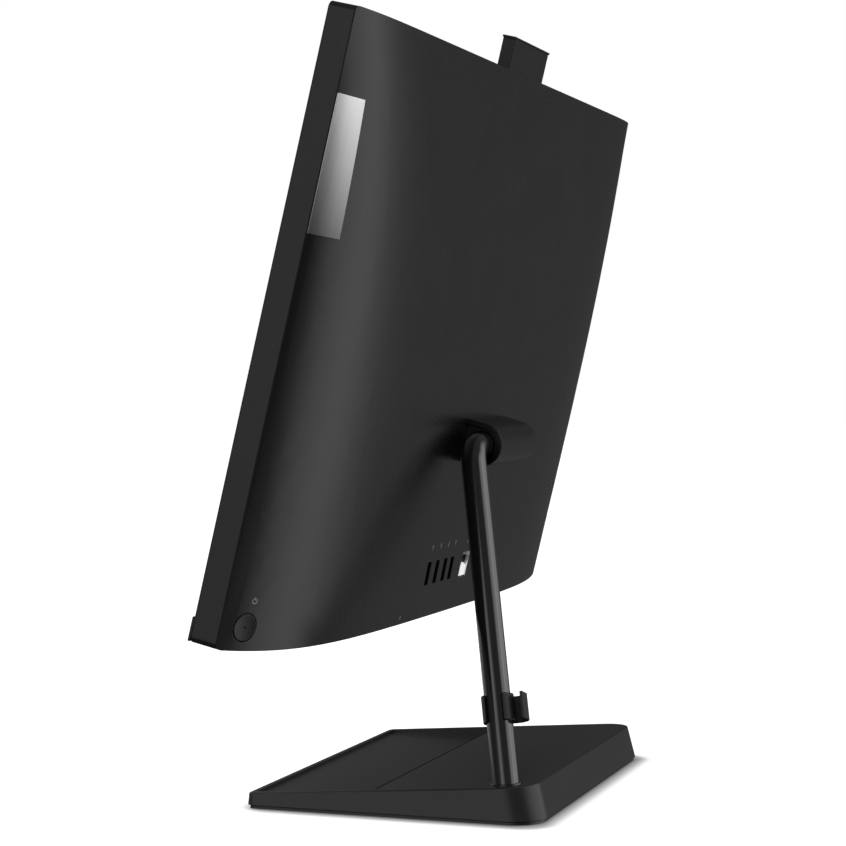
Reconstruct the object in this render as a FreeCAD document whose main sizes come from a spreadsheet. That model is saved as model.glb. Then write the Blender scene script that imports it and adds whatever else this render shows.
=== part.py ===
"""All-in-one desktop computer on a bent-tube stand, built piece by piece in millimetres.

World frame: +Z up, +X to the right of someone facing the screen, the screen faces -Y.
The origin is on the desk, under the middle of the base.
Pieces of the display are drawn in the display's own frame and then placed in the world:
x along the width from the middle, y the depth behind the front face, z the height above
the bottom edge.
"""
import FreeCAD, Part
import math
import os
import re

import Sketcher

Vector = FreeCAD.Vector
Placement = FreeCAD.Placement
Rotation = FreeCAD.Rotation
X_AXIS = Vector(1, 0, 0)
Y_AXIS = Vector(0, 1, 0)
Z_AXIS = Vector(0, 0, 1)

os.makedirs("parts", exist_ok=True)
doc = FreeCAD.newDocument("AllInOne")
sheet = doc.addObject("Spreadsheet::Sheet", "Dims")
PIECES = []

# ------------------------------------------------------------------ driving dimensions

DIMENSIONS = {
    # display outline, a 23.8 inch panel in a narrow frame
    "display_width": 541, "display_height": 317, "side_depth": 14, "outline_round": 3.5,
    "front_edge_round": 0.8, "seam_round": 0.3,
    "frame_wall": 2.4, "frame_lip": 1, "lip_reach": 3.2,
    "chin_height": 12.7, "chin_proud": 1.2,
    # where the display hangs and how far it leans back
    "tilt": 13.5, "display_front": -49.2, "display_bottom": 112,
    "axis_depth": 51.2, "axis_height": 104.5,
    # back cover: how far its middle stands behind the side frame, and how fast it gets there
    "cover_wall": 2.2, "bulge_bottom": 29.4, "bulge_top": 6.8,
    "spread_bottom": 45, "spread_top": 20, "bulge_even": 0.346, "bulge_power": 3.45,
    # screen
    "cell_width": 535, "cell_front": 1.2, "cell_thick": 1.6, "cell_low": 10.4, "cell_high": 313.6,
    "tray_depth": 4.6, "tray_wall": 0.8, "guide_thick": 2.6,
    # steel plate behind the screen that everything else is screwed to
    "chassis_depth": 9, "chassis_thick": 1, "chassis_width": 524, "chassis_low": 6,
    "chassis_high": 309,
    # mainboard and what stands on it
    "board_depth": 20, "board_thick": 1.6, "board_left": -165, "board_right": 90,
    "board_step": -46, "board_low": 8, "board_knee": 74, "board_high": 190,
    "usb_width": 13.2, "usb_narrow": 5.8, "usb_low": 20, "port_clear": 0.5, "shell_wall": 0.4,
    "jack_long": 15.4, "jack_narrow": 12.4, "jack_centre": -18.8, "jack_low": 19.2,
    "video_centre": -42, "inlet_centre": -60, "inlet_height": 27, "inlet_radius": 3.6,
    "audio_centre": 82, "audio_depth": 26, "audio_radius": 1.8,
    # fan and cooler
    "fan_centre": -208, "fan_height": 54, "fan_side": 70, "fan_depth": 11, "fan_thick": 11,
    "rotor_radius": 28, "hub_radius": 12,
    # camera that slides up out of the top edge
    "camera_width": 68, "camera_front": 11, "camera_thick": 7.5, "camera_tall": 46,
    "camera_top": 336, "camera_travel": 17.6, "camera_gap": 0.4, "cap_thick": 1.2, "cap_over": 1.3,
    # power button on the sloping side of the back cover
    "button_across": 257, "button_height": 12, "button_radius": 7, "button_gap": 0.45,
    "button_thick": 3, "button_travel": 1,
    # plate on the back cover, beside the crease
    "plate_low": 207, "plate_tall": 68, "plate_wide": 18, "plate_proud": 0.4, "plate_sunk": 0.5,
    # hinge housing
    "housing_near": 30, "housing_far": -43, "nose_radius": 12.4, "housing_wall": 3,
    "housing_slope": 2, "shaft_radius": 4, "shaft_clear": 0.06, "ear_radius": 7.2, "ear_thick": 4,
    "ear_near": 4, "ear_far": -31,
    # bent tube
    "tube_across": 48, "tube_radius": 7.35, "tube_bore": 5.8, "tube_bend": 16, "tube_lean": 11.55,
    "tube_slant": 16.8, "tube_foot": 6, "tube_end": 18,
    # base
    "base_width": 238, "base_length": 170, "base_front": 9.2, "base_rear": 22, "base_wall": 2.2,
    "rear_round": 19, "front_round": 4, "rear_draft": 14, "side_draft": 4,
    "tray_rim": 4.6, "tray_floor": 7.6, "tray_back": -10.6, "shell_low": 2.6,
    "foot_radius": 8, "foot_tall": 1.6, "sole_low": 0.6, "sole_thick": 1.6, "sole_inset": 1.4,
    "weight_thick": 2.6,
    # clip that turns on the tube and holds a lead
    "clip_below": 144.7, "clip_tall": 15, "clip_bore": 7.65, "clip_outer": 9.05,
    "hook_inner": 13.9, "hook_outer": 15.4,
}

for row, (alias, value) in enumerate(DIMENSIONS.items(), start=1):
    sheet.set(f"A{row}", alias.replace("_", " "))
    sheet.set(f"B{row}", str(value))
    sheet.setAlias(f"B{row}", alias)
doc.recompute()


def size(alias):
    """The number in one cell of the sheet."""
    return float(sheet.get(alias))


def pointed(word):
    """One word of an expression, pointed at its cell if it is an alias of the sheet."""
    return f"Dims.{word.group()}" if word.group() in DIMENSIONS else word.group()


def linked(expression):
    """An expression in sheet aliases, with each alias pointed at its cell."""
    return re.sub(r"[a-z_]{3,}", pointed, str(expression))


def bind(thing, **expressions):
    """Ties properties to the sheet; a double underscore in a name stands for a dot."""
    for name, expression in expressions.items():
        thing.setExpression(name.replace("__", "."), linked(expression))


# ------------------------------------------------------------------ ways to build a piece

def display_frame():
    """Placement of the display's own frame in the world."""
    return Placement(Vector(0, size("display_front"), size("display_bottom")),
                     Rotation(X_AXIS, -size("tilt")))


def tube_frame():
    """Placement of the tube's frame: origin on the hinge axis, z up along the slanting tube."""
    on_display = Vector(size("tube_across"), size("axis_depth"), size("axis_height"))
    axis = display_frame().multVec(on_display)
    lean, slant = Rotation(X_AXIS, size("tube_lean")), Rotation(Y_AXIS, -size("tube_slant"))
    return Placement(axis, lean.multiply(slant))


def piece(thing, label, place=None):
    """Names a finished sub-part and puts it in the world."""
    thing.Label = label
    if place is not None:
        thing.Placement = place
    PIECES.append(thing)
    return thing


def shaped(label, shape, place=None):
    """A sub-part whose shape is worked out by functions."""
    thing = doc.addObject("Part::Feature", label)
    thing.Shape = shape
    return piece(thing, label, place)


def block(x, y, z, length, width, height):
    """A box from its low corner and its sides."""
    box = doc.addObject("Part::Box", "Block")
    bind(box, Placement__Base__x=x, Placement__Base__y=y, Placement__Base__z=z,
         Length=length, Width=width, Height=height)
    return box


def rod(axis, x, y, z, radius, length):
    """A cylinder from the middle of its low end, along x, y or z."""
    turn = {"x": Rotation(Y_AXIS, 90), "y": Rotation(X_AXIS, -90), "z": Rotation()}
    cylinder = doc.addObject("Part::Cylinder", "Rod")
    cylinder.Placement = Placement(Vector(), turn[axis])
    bind(cylinder, Placement__Base__x=x, Placement__Base__y=y, Placement__Base__z=z,
         Radius=radius, Height=length)
    return cylinder


def joined(*things):
    """One solid out of several that touch or overlap."""
    fuse = doc.addObject("Part::MultiFuse", "Joined")
    fuse.Shapes = list(things)
    fuse.Refine = True
    return fuse


def group(things):
    """Separate solids kept as one group."""
    compound = doc.addObject("Part::Compound", "Group")
    compound.Links = list(things)
    return compound


def without(base, *tools):
    """The base with the tools cut out of it."""
    cut = doc.addObject("Part::Cut", "Without")
    cut.Base = base
    cut.Tool = tools[0] if len(tools) == 1 else group(tools)
    return cut


def common(first, second):
    """What two things share."""
    both = doc.addObject("Part::Common", "Common")
    both.Base = first
    both.Tool = second
    return both


def body(name):
    """An empty PartDesign body."""
    return doc.addObject("PartDesign::Body", name)


def sketch(owner, role, offset=0, across=0, along=0):
    """An empty sketch on one of the body's own planes, moved along and off that plane."""
    drawing = owner.newObject("Sketcher::SketchObject", owner.Name + "Sketch")
    plane = next(feature for feature in owner.Origin.OriginFeatures if feature.Role == role)
    drawing.AttachmentSupport = [(plane, "")]
    drawing.MapMode = "FlatFace"
    bind(drawing, AttachmentOffset__Base__x=across, AttachmentOffset__Base__y=along,
         AttachmentOffset__Base__z=offset)
    return drawing


def rectangle(drawing, width, height):
    """A rectangle about the sketch's origin."""
    first = drawing.GeometryCount
    corners = [Vector(-9, -7), Vector(9, -7), Vector(9, 7), Vector(-9, 7)]
    for start, end in zip(corners, corners[1:] + corners[:1]):
        drawing.addGeometry(Part.LineSegment(start, end))
    for side in range(4):
        following = first + (side + 1) % 4
        drawing.addConstraint(Sketcher.Constraint("Coincident", first + side, 2, following, 1))
    for side, direction in enumerate(("Horizontal", "Vertical", "Horizontal", "Vertical")):
        drawing.addConstraint(Sketcher.Constraint(direction, first + side))
    drawing.addConstraint(Sketcher.Constraint("Symmetric", first, 1, first + 1, 2, -1, 1))
    wide = drawing.addConstraint(Sketcher.Constraint("DistanceX", first, 1, first, 2, 18))
    tall = drawing.addConstraint(Sketcher.Constraint("DistanceY", first + 1, 1, first + 1, 2, 14))
    drawing.setExpression(f"Constraints[{wide}]", linked(width))
    drawing.setExpression(f"Constraints[{tall}]", linked(height))
    return drawing


def circle(drawing, radius):
    """A circle about the sketch's origin."""
    index = drawing.addGeometry(Part.Circle(Vector(), Z_AXIS, 5))
    drawing.addConstraint(Sketcher.Constraint("Coincident", index, 3, -1, 1))
    datum = drawing.addConstraint(Sketcher.Constraint("Radius", index, 5))
    drawing.setExpression(f"Constraints[{datum}]", linked(radius))
    return drawing


def pad(owner, drawing, length, backward=False):
    """Adds a straight block from a sketch."""
    feature = owner.newObject("PartDesign::Pad", owner.Name + "Pad")
    feature.Profile = drawing
    feature.Reversed = backward
    bind(feature, Length=length)
    return feature


def pocket(owner, drawing, length):
    """Cuts a straight pocket from a sketch."""
    feature = owner.newObject("PartDesign::Pocket", owner.Name + "Pocket")
    feature.Profile = drawing
    bind(feature, Length=length)
    return feature


def plate(name, across, low, front, width, height, thick, windows=()):
    """A flat plate parallel to the screen, with rectangular windows.

    across is its middle, low its bottom edge and front its front face; each window is
    (middle across, bottom edge, width, height).
    """
    owner = body(name)
    face = f"-({front})"
    outline = sketch(owner, "XZ_Plane", face, across, f"{low} + ({height}) / 2")
    pad(owner, rectangle(outline, width, height), thick, backward=True)
    for middle, bottom, wide, tall in windows:
        hole = sketch(owner, "XZ_Plane", face, middle, f"{bottom} + ({tall}) / 2")
        pocket(owner, rectangle(hole, wide, tall), thick)
    return owner


def drill(owner, front, thick, radius, spots):
    """Round holes straight through a plate at (across, height) spots."""
    for across, height in spots:
        spot = sketch(owner, "XZ_Plane", f"-({front})", across, height)
        pocket(owner, circle(spot, radius), thick)
    return owner


def screw(axis, x, y, z, head_radius, head_thick, shank_radius, shank_long):
    """A pan-head screw; the head grows along +axis from the spot, the shank along -axis."""
    spot = {"x": x, "y": y, "z": z}
    head = rod(axis, x, y, z, head_radius, head_thick)
    spot[axis] = f"{spot[axis]} - {shank_long}"
    shank = rod(axis, spot["x"], spot["y"], spot["z"], shank_radius, shank_long)
    return joined(head, shank)


# ------------------------------------------------------------------ screen and side frame

DISPLAY = display_frame()


def make_side_frame():
    """The narrow frame all round the edge of the display."""
    owner = body("side_frame")
    middle = "display_height / 2"
    outline = sketch(owner, "XZ_Plane", 0, 0, middle)
    rectangle(outline, "display_width", "display_height")
    slab = pad(owner, outline, "side_depth", backward=True)
    doc.recompute()
    corners = [f"Edge{number}" for number, edge in enumerate(slab.Shape.Edges, start=1)
               if abs(edge.Length - size("side_depth")) < 0.01]
    rounds = owner.newObject("PartDesign::Fillet", "OutlineRound")
    rounds.Base = (slab, corners)
    bind(rounds, Radius="outline_round")
    doc.recompute()
    for depth, radius in ((0, "front_edge_round"), (size("side_depth"), "seam_round")):
        rim = [f"Edge{number}" for number, edge in enumerate(owner.Tip.Shape.Edges, start=1)
               if edge.BoundBox.YLength < 0.01 and abs(edge.BoundBox.YMin - depth) < 0.01]
        below = owner.Tip
        softened = owner.newObject("PartDesign::Fillet", "RimRound")
        softened.Base = (below, rim)
        bind(softened, Radius=radius)
        doc.recompute()
    inside = sketch(owner, "XZ_Plane", "-frame_lip", 0, middle)
    rectangle(inside, "display_width - 2 * frame_wall", "display_height - 2 * frame_wall")
    pocket(owner, inside, "side_depth")
    front = sketch(owner, "XZ_Plane", 0, 0, "(display_height - lip_reach + frame_wall) / 2")
    rectangle(front, "display_width - 2 * lip_reach", "display_height - lip_reach - frame_wall")
    pocket(owner, front, "2 * frame_lip")
    slot_front, slot_back = "camera_front - camera_gap", "side_depth + 2"
    slot = sketch(owner, "XY_Plane", "display_height", 0, f"({slot_front} + {slot_back}) / 2")
    rectangle(slot, "camera_width + 2 * camera_gap", f"{slot_back} - ({slot_front})")
    pocket(owner, slot, "2 * frame_wall")
    piece(owner, "side_frame", DISPLAY)


def make_chin():
    """The bar below the screen, with two rows of sound slots."""
    inset, gap = 0.6, 0.3
    bar = block(f"-display_width / 2 + {inset}", "-chin_proud", inset, f"display_width - 2 * {inset}",
                "chin_proud", f"chin_height - {inset}")
    rib = block(f"-display_width / 2 + lip_reach + {gap}", 0, "frame_wall + 0.2",
                f"display_width - 2 * (lip_reach + {gap})", "frame_lip",
                "chin_height - frame_wall - 0.2")
    slot_wide, slot_tall, slot_low = 4.4, 1.4, 6
    slots = [block(side * (110 + 7 * number) - slot_wide / 2, -3, slot_low, slot_wide, 6, slot_tall)
             for side in (-1, 1) for number in range(16)]
    piece(without(joined(bar, rib), *slots), "speaker_strip", DISPLAY)


def make_screen():
    """Liquid crystal cell, light guide and steel tray."""
    piece(plate("lcd_cell", 0, "cell_low", "cell_front", "cell_width", "cell_high - cell_low",
                "cell_thick"), "lcd_cell", DISPLAY)
    guide_low = "(cell_low + 2 * tray_wall)"
    piece(plate("light_guide", 0, guide_low, "cell_front + cell_thick + 0.1",
                "cell_width - 4 * tray_wall", f"cell_high - {guide_low} - 2 * tray_wall",
                "guide_thick"), "light_guide", DISPLAY)
    tray = plate("backlight_tray", 0, "cell_low", "cell_front + cell_thick", "cell_width",
                 "cell_high - cell_low", "tray_depth")
    middle = "(cell_low + cell_high) / 2"
    inside = sketch(tray, "XZ_Plane", "-(cell_front + cell_thick)", 0, middle)
    rectangle(inside, "cell_width - 2 * tray_wall", "cell_high - cell_low - 2 * tray_wall")
    pocket(tray, inside, "tray_depth - tray_wall")
    piece(tray, "backlight_tray", DISPLAY)


PANEL_SCREW_ACROSS = 256
PANEL_SCREWS = [(side * PANEL_SCREW_ACROSS, height) for side in (-1, 1) for height in (40, 158, 276)]
HINGE_SCREWS = [(across, height) for across in (-39, 27) for height in (84, 140)]
BOARD_SCREWS = [(-158, 14), (-80, 14), (83, 57), (-158, 183), (-54, 183), (-158, 98)]


def make_chassis():
    """Brackets on the panel and the steel plate that they carry."""
    behind_tray = "cell_front + cell_thick + tray_depth"
    thick = f"chassis_depth - ({behind_tray})"
    brackets = []
    for side in (-1, 1):
        strip = plate("Bracket", side * PANEL_SCREW_ACROSS, 20, behind_tray, 12, 276, thick)
        spots = [spot for spot in PANEL_SCREWS if spot[0] * side > 0]
        brackets.append(drill(strip, behind_tray, thick, 1.3, spots))
    piece(group(brackets), "panel_brackets", DISPLAY)
    window = 44
    windows = [(60 * column, 214, window, window) for column in (-3, -2, 2, 3)]
    windows.append((-210, 130, window, window))
    chassis = plate("steel_chassis", 0, "chassis_low", "chassis_depth", "chassis_width",
                    "chassis_high - chassis_low", "chassis_thick", windows)
    drill(chassis, "chassis_depth", "chassis_thick", 1.6, PANEL_SCREWS)
    drill(chassis, "chassis_depth", "chassis_thick", 2.1, HINGE_SCREWS)
    piece(chassis, "steel_chassis", DISPLAY)


# ------------------------------------------------------------------ back cover

def bulge_depth(across, height):
    """Depth of the outside of the back cover, behind the front face of the display."""
    edge = size("display_width") / 2 - abs(across)
    rise = height / size("display_height")
    even = size("bulge_even")
    fall = even * rise + (1 - even) * rise ** size("bulge_power")
    swell = size("bulge_bottom") - (size("bulge_bottom") - size("bulge_top")) * fall
    spread = size("spread_bottom") + (size("spread_top") - size("spread_bottom")) * rise
    return size("side_depth") + swell * (1 - math.exp(-edge / spread))


def bulge_solid(offset=0.0, inset=0.0, front=None):
    """The solid between a flat front and the cover's outside, moved back by the offset."""
    half = size("display_width") / 2 - inset
    front = size("side_depth") if front is None else front
    shares = [0, 0.03, 0.06, 0.105, 0.165, 0.24, 0.33, 0.46, 0.62, 0.8, 1]
    across = sorted({side * half * (1 - share) for side in (-1, 1) for share in shares})
    sections = []
    levels = 9
    for level in range(levels):
        height = inset + (size("display_height") - 2 * inset) * level / (levels - 1)
        points = [Vector(x, bulge_depth(x, height) + offset, height) for x in across]
        curve = Part.BSplineCurve()
        curve.interpolate(points)
        near, far = Vector(half, front, height), Vector(-half, front, height)
        edges = [curve.toShape()]
        if (points[-1] - near).Length > 1e-6:
            edges.append(Part.makeLine(points[-1], near))
        edges.append(Part.makeLine(near, far))
        if (points[0] - far).Length > 1e-6:
            edges.append(Part.makeLine(far, points[0]))
        sections.append(Part.Wire(edges))
    return Part.makeLoft(sections, True, False)


def outline_prism(depth_from, depth_to):
    """The display's rounded outline as a straight prism through the given depths."""
    width, height = size("display_width"), size("display_height")
    prism = Part.makeBox(width, depth_to - depth_from, height, Vector(-width / 2, depth_from, 0))
    corners = [edge for edge in prism.Edges if abs(edge.Length - (depth_to - depth_from)) < 1e-6]
    return prism.makeFillet(size("outline_round"), corners)


def button_place():
    """Frame on the cover under the power button, z pointing straight out of the surface."""
    across, height, step = size("button_across"), size("button_height"), 0.5
    slope_x = (bulge_depth(across + step, height) - bulge_depth(across - step, height)) / (2 * step)
    slope_z = (bulge_depth(across, height + step) - bulge_depth(across, height - step)) / (2 * step)
    outward = Vector(-slope_x, 1, -slope_z)
    return Placement(Vector(across, bulge_depth(across, height), height), Rotation(Z_AXIS, outward))


USB_CENTRES = (48, 33.5, 19, 6.5)
AIR_SLOTS = [-240 + 5 * number for number in range(13)]
INTAKE_SLOTS = [110 + 6 * number for number in range(17)]


def port_box(centre, narrow, low, tall):
    """The hole in the cover for one port."""
    return Part.makeBox(narrow, 30, tall, Vector(centre - narrow / 2, 28, low))


def make_back_cover():
    """The one-piece shell behind the display, with its ports, vents and slots."""
    wall = size("cover_wall")
    solid = bulge_solid().common(outline_prism(size("side_depth"), 60))
    hollow = bulge_solid(-wall, wall, front=9)
    clear = size("port_clear")
    cuts = []
    for centre in USB_CENTRES + (size("video_centre"),):
        cuts.append(port_box(centre, size("usb_narrow") + clear, size("usb_low") - clear / 2,
                             size("usb_width") + clear))
    cuts.append(port_box(size("jack_centre"), size("jack_narrow") + clear,
                         size("jack_low") - clear / 2, size("jack_long") + clear))
    cuts.append(Part.makeCylinder(size("inlet_radius") + clear / 2, 30,
                                  Vector(size("inlet_centre"), 28, size("inlet_height")), Y_AXIS))
    cuts.append(Part.makeCylinder(size("audio_radius") + clear, 6,
                                  Vector(size("audio_centre"), size("audio_depth"), -1), Z_AXIS))
    slot, slot_front = 2.4, 16
    for across_all, deep in ((AIR_SLOTS, 9), (INTAKE_SLOTS, 11)):
        for across in across_all:
            cuts.append(Part.makeBox(slot, deep, 6, Vector(across - slot / 2, slot_front, -1)))
    far, near = size("housing_far"), size("housing_near")
    bracket_tall = 19
    cuts.append(Part.makeBox(near - far - 2.4, 40, bracket_tall,
                             Vector(far + 2, 25, size("axis_height") - bracket_tall / 2)))
    gap = size("camera_gap")
    corner = Vector(-size("camera_width") / 2 - gap, size("camera_front") - gap,
                    size("display_height") - 50)
    cuts.append(Part.makeBox(size("camera_width") + 2 * gap, size("camera_thick") + 2 * gap, 60, corner))
    hole = Part.makeCylinder(size("button_radius") + size("button_gap"), 30, Vector(0, 0, -15))
    hole.Placement = button_place()
    cuts.append(hole)
    microphone = Vector(-38, 14, size("display_height") - 7)
    cuts.append(Part.makeCylinder(0.7, 12, microphone, Y_AXIS))
    cuts.append(plate_zone().cut(bulge_solid(-size("plate_sunk"), front=5)))
    shaped("back_cover", solid.cut(hollow).cut(cuts).removeSplitter(), DISPLAY)


def plate_zone():
    """Upright block in which the small plate on the cover lies."""
    wide, tall = size("plate_wide"), size("plate_tall")
    corner = Vector(size("display_width") / 2 - wide - 0.5, size("side_depth"), size("plate_low"))
    return Part.makeBox(wide, 30, tall, corner)


def make_name_plate():
    """A blank metal plate that follows the cover beside the crease."""
    strip = plate_zone().common(bulge_solid(size("plate_proud"), front=5))
    shaped("name_plate", strip.cut(bulge_solid(-size("plate_sunk"), front=5)), DISPLAY)


# ------------------------------------------------------------------ mainboard and drives

BOARD_BACK = "board_depth + board_thick"
CHASSIS_BACK = "chassis_depth + chassis_thick"


def make_mainboard():
    """L-shaped board on six pillars, clear of the hinge bracket."""
    owner = body("mainboard")
    outline = sketch(owner, "XZ_Plane", "-board_depth", "(board_left + board_right) / 2",
                     "(board_low + board_high) / 2")
    rectangle(outline, "board_right - board_left", "board_high - board_low")
    pad(owner, outline, "board_thick", backward=True)
    spare = 10
    notch = sketch(owner, "XZ_Plane", "-board_depth", f"(board_step + board_right + {spare}) / 2",
                   f"(board_knee + board_high + {spare}) / 2")
    rectangle(notch, f"board_right - board_step + {spare}", f"board_high - board_knee + {spare}")
    pocket(owner, notch, "board_thick")
    drill(owner, "board_depth", "board_thick", 1.5, BOARD_SCREWS)
    piece(owner, "mainboard", DISPLAY)
    pillars = [without(rod("y", across, CHASSIS_BACK, height, 2.8, f"board_depth - ({CHASSIS_BACK})"),
                       rod("y", across, CHASSIS_BACK, height, 1.25, 20))
               for across, height in BOARD_SCREWS]
    piece(group(pillars), "board_pillars", DISPLAY)
    head = (2.6, 1.3)
    screws = [screw("y", across, BOARD_BACK, height, *head, 1.2, 7) for across, height in BOARD_SCREWS]
    screws += [screw("y", across, CHASSIS_BACK, height, *head, 1.25, 2.4)
               for across, height in PANEL_SCREWS]
    piece(group(screws), "small_screws", DISPLAY)


def socket(centre, narrow, low, tall, reach, wall, tongue):
    """A metal connector shell that opens backward, with the tongue inside it."""
    left = f"({centre}) - ({narrow}) / 2"
    shell = block(left, BOARD_BACK, low, narrow, reach, tall)
    inside = block(f"{left} + {wall}", f"{BOARD_BACK} + 6", f"{low} + {wall}",
                   f"{narrow} - 2 * {wall}", reach, f"{tall} - 2 * {wall}")
    blade = block(f"({centre}) - ({tongue}) / 2", f"{BOARD_BACK} + 5", f"{low} + {wall} + 1",
                  tongue, f"{reach} - 7", f"{tall} - 2 * {wall} - 2")
    return joined(without(shell, inside), blade)


def make_ports():
    """Connectors on the back of the mainboard."""
    reach = 18.6
    shell = ("usb_narrow", "usb_low", "usb_width", reach, "shell_wall")
    piece(group([socket(centre, *shell, 1.9) for centre in USB_CENTRES]), "usb_ports", DISPLAY)
    piece(socket("video_centre", *shell, 1.6), "video_port", DISPLAY)
    jack = block("jack_centre - jack_narrow / 2", BOARD_BACK, "jack_low", "jack_narrow",
                 reach + 1.6, "jack_long")
    mouth = block("jack_centre - 4.3", f"{BOARD_BACK} + 5", "jack_low + 2", 8.6, reach, 11.4)
    piece(without(jack, mouth), "network_jack", DISPLAY)
    barrel = rod("y", "inlet_centre", BOARD_BACK, "inlet_height", "inlet_radius", reach)
    bore = rod("y", "inlet_centre", f"{BOARD_BACK} + 5", "inlet_height", "inlet_radius - 0.7", reach)
    pin = rod("y", "inlet_centre", f"{BOARD_BACK} + 4", "inlet_height", 0.8, reach - 6)
    piece(joined(without(barrel, bore), pin), "power_inlet", DISPLAY)
    lump = block("audio_centre - 3.2", BOARD_BACK, 2.6, 6.4, f"2 * (audio_depth - ({BOARD_BACK}))", 13)
    bore = rod("z", "audio_centre", "audio_depth", 2, "audio_radius", 12)
    piece(without(lump, bore), "audio_jack", DISPLAY)


def make_cards():
    """Chips, memory and cards on the board."""
    piece(plate("processor", -95, 112, BOARD_BACK, 37, 37, 1.5), "processor", DISPLAY)
    sockets = [plate("Socket", 12, 37, BOARD_BACK, 70, 6, 8),
               plate("Socket", -146, 30, BOARD_BACK, 6, 23, 4.2)]
    piece(group(sockets), "card_sockets", DISPLAY)
    sticks = [plate("Stick", 12, 43, f"{BOARD_BACK} + {lift}", 67, 30, 1.2) for lift in (1.4, 5.2)]
    piece(group(sticks), "memory_modules", DISPLAY)
    for name, across, low, lift, width, height in (("solid_state_drive", -103, 30.5, 2.2, 80, 22),
                                                   ("wireless_card", -140, 62, 0.6, 22, 30)):
        card = plate(name, across, low, f"{BOARD_BACK} + {lift}", width, height, 2.2)
        piece(card, name, DISPLAY)
    piece(group([rod("y", -62, BOARD_BACK, 80, 10, 3.2)]), "clock_cell", DISPLAY)
    aerials = [plate("Aerial", side * 190, 288, CHASSIS_BACK, 44, 9, 1) for side in (-1, 1)]
    piece(group(aerials), "antennas", DISPLAY)


def make_storage():
    """Hard drive in its steel cradle."""
    cradle = block(118, CHASSIS_BACK, 34, 74, 7, 102)
    room = block(119, f"{CHASSIS_BACK} + 1", 33, 72, 7, 104)
    piece(without(cradle, room), "drive_cradle", DISPLAY)
    piece(plate("hard_drive", 155, 35, f"{CHASSIS_BACK} + 1.1", 69.8, 100, 7), "hard_drive", DISPLAY)


def make_speakers():
    """Two closed speaker boxes above the chin."""
    for side, label in ((-1, "speaker_left"), (1, "speaker_right")):
        middle, long, deep, low, tall = side * 112, 76, 8, 4.8, 6
        box = block(middle - long / 2, CHASSIS_BACK, low, long, deep, tall)
        ring = rod("y", middle, f"{CHASSIS_BACK} + {deep}", low + tall / 2, 2.6, 1.2)
        piece(joined(box, ring), label, DISPLAY)


# ------------------------------------------------------------------ cooling

def make_cooler():
    """Heat sink on the processor, heat pipe, outlet fins and the fan."""
    pipe_radius, bend, start, corner, height, foot = 2.8, 20, -62, "fan_centre", 130, 9
    depth = f"{BOARD_BACK} + 4.8"
    sink_left, sink_low, sink_tall = -121, 106, 50
    base = block(sink_left, f"{BOARD_BACK} + 1.5", sink_low, 52, 6.6, sink_tall)
    fins = [block(sink_left + 4 * number, f"{BOARD_BACK} + 8", sink_low, 1.2, 5, sink_tall)
            for number in range(13)]
    tunnel = rod("x", sink_left - 1, depth, height, pipe_radius, 60)
    piece(without(joined(base, *fins), tunnel), "heat_sink", DISPLAY)
    level = rod("x", f"{corner} + {bend}", depth, height, pipe_radius, f"{start} - ({corner}) - {bend}")
    upright = rod("z", corner, depth, foot, pipe_radius, height - bend - foot)
    elbow = doc.addObject("Part::Torus", "Elbow")
    elbow.Placement = Placement(Vector(), Rotation(X_AXIS, 90))
    bind(elbow, Radius1=bend, Radius2=pipe_radius, Placement__Base__x=f"{corner} + {bend}",
         Placement__Base__y=depth, Placement__Base__z=height - bend)
    room = block(f"{corner} - 10", f"{depth} - 10", height - bend, bend + 10, 20, bend + 10)
    piece(joined(level, common(elbow, room), upright), "heat_pipe", DISPLAY)
    low, tall, deep = 5, 13, 12.4
    shelf = block("fan_centre - 32", "fan_depth", low, 64, 1, tall)
    roof = block("fan_centre - 32", f"fan_depth + {deep} - 1", low, 64, 1, tall)
    blades = [block(f"fan_centre - 32 + {4.2 * number}", "fan_depth", low, 0.8, deep, tall)
              for number in range(16)]
    piece(joined(shelf, roof, *blades), "outlet_fins", DISPLAY)


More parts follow.
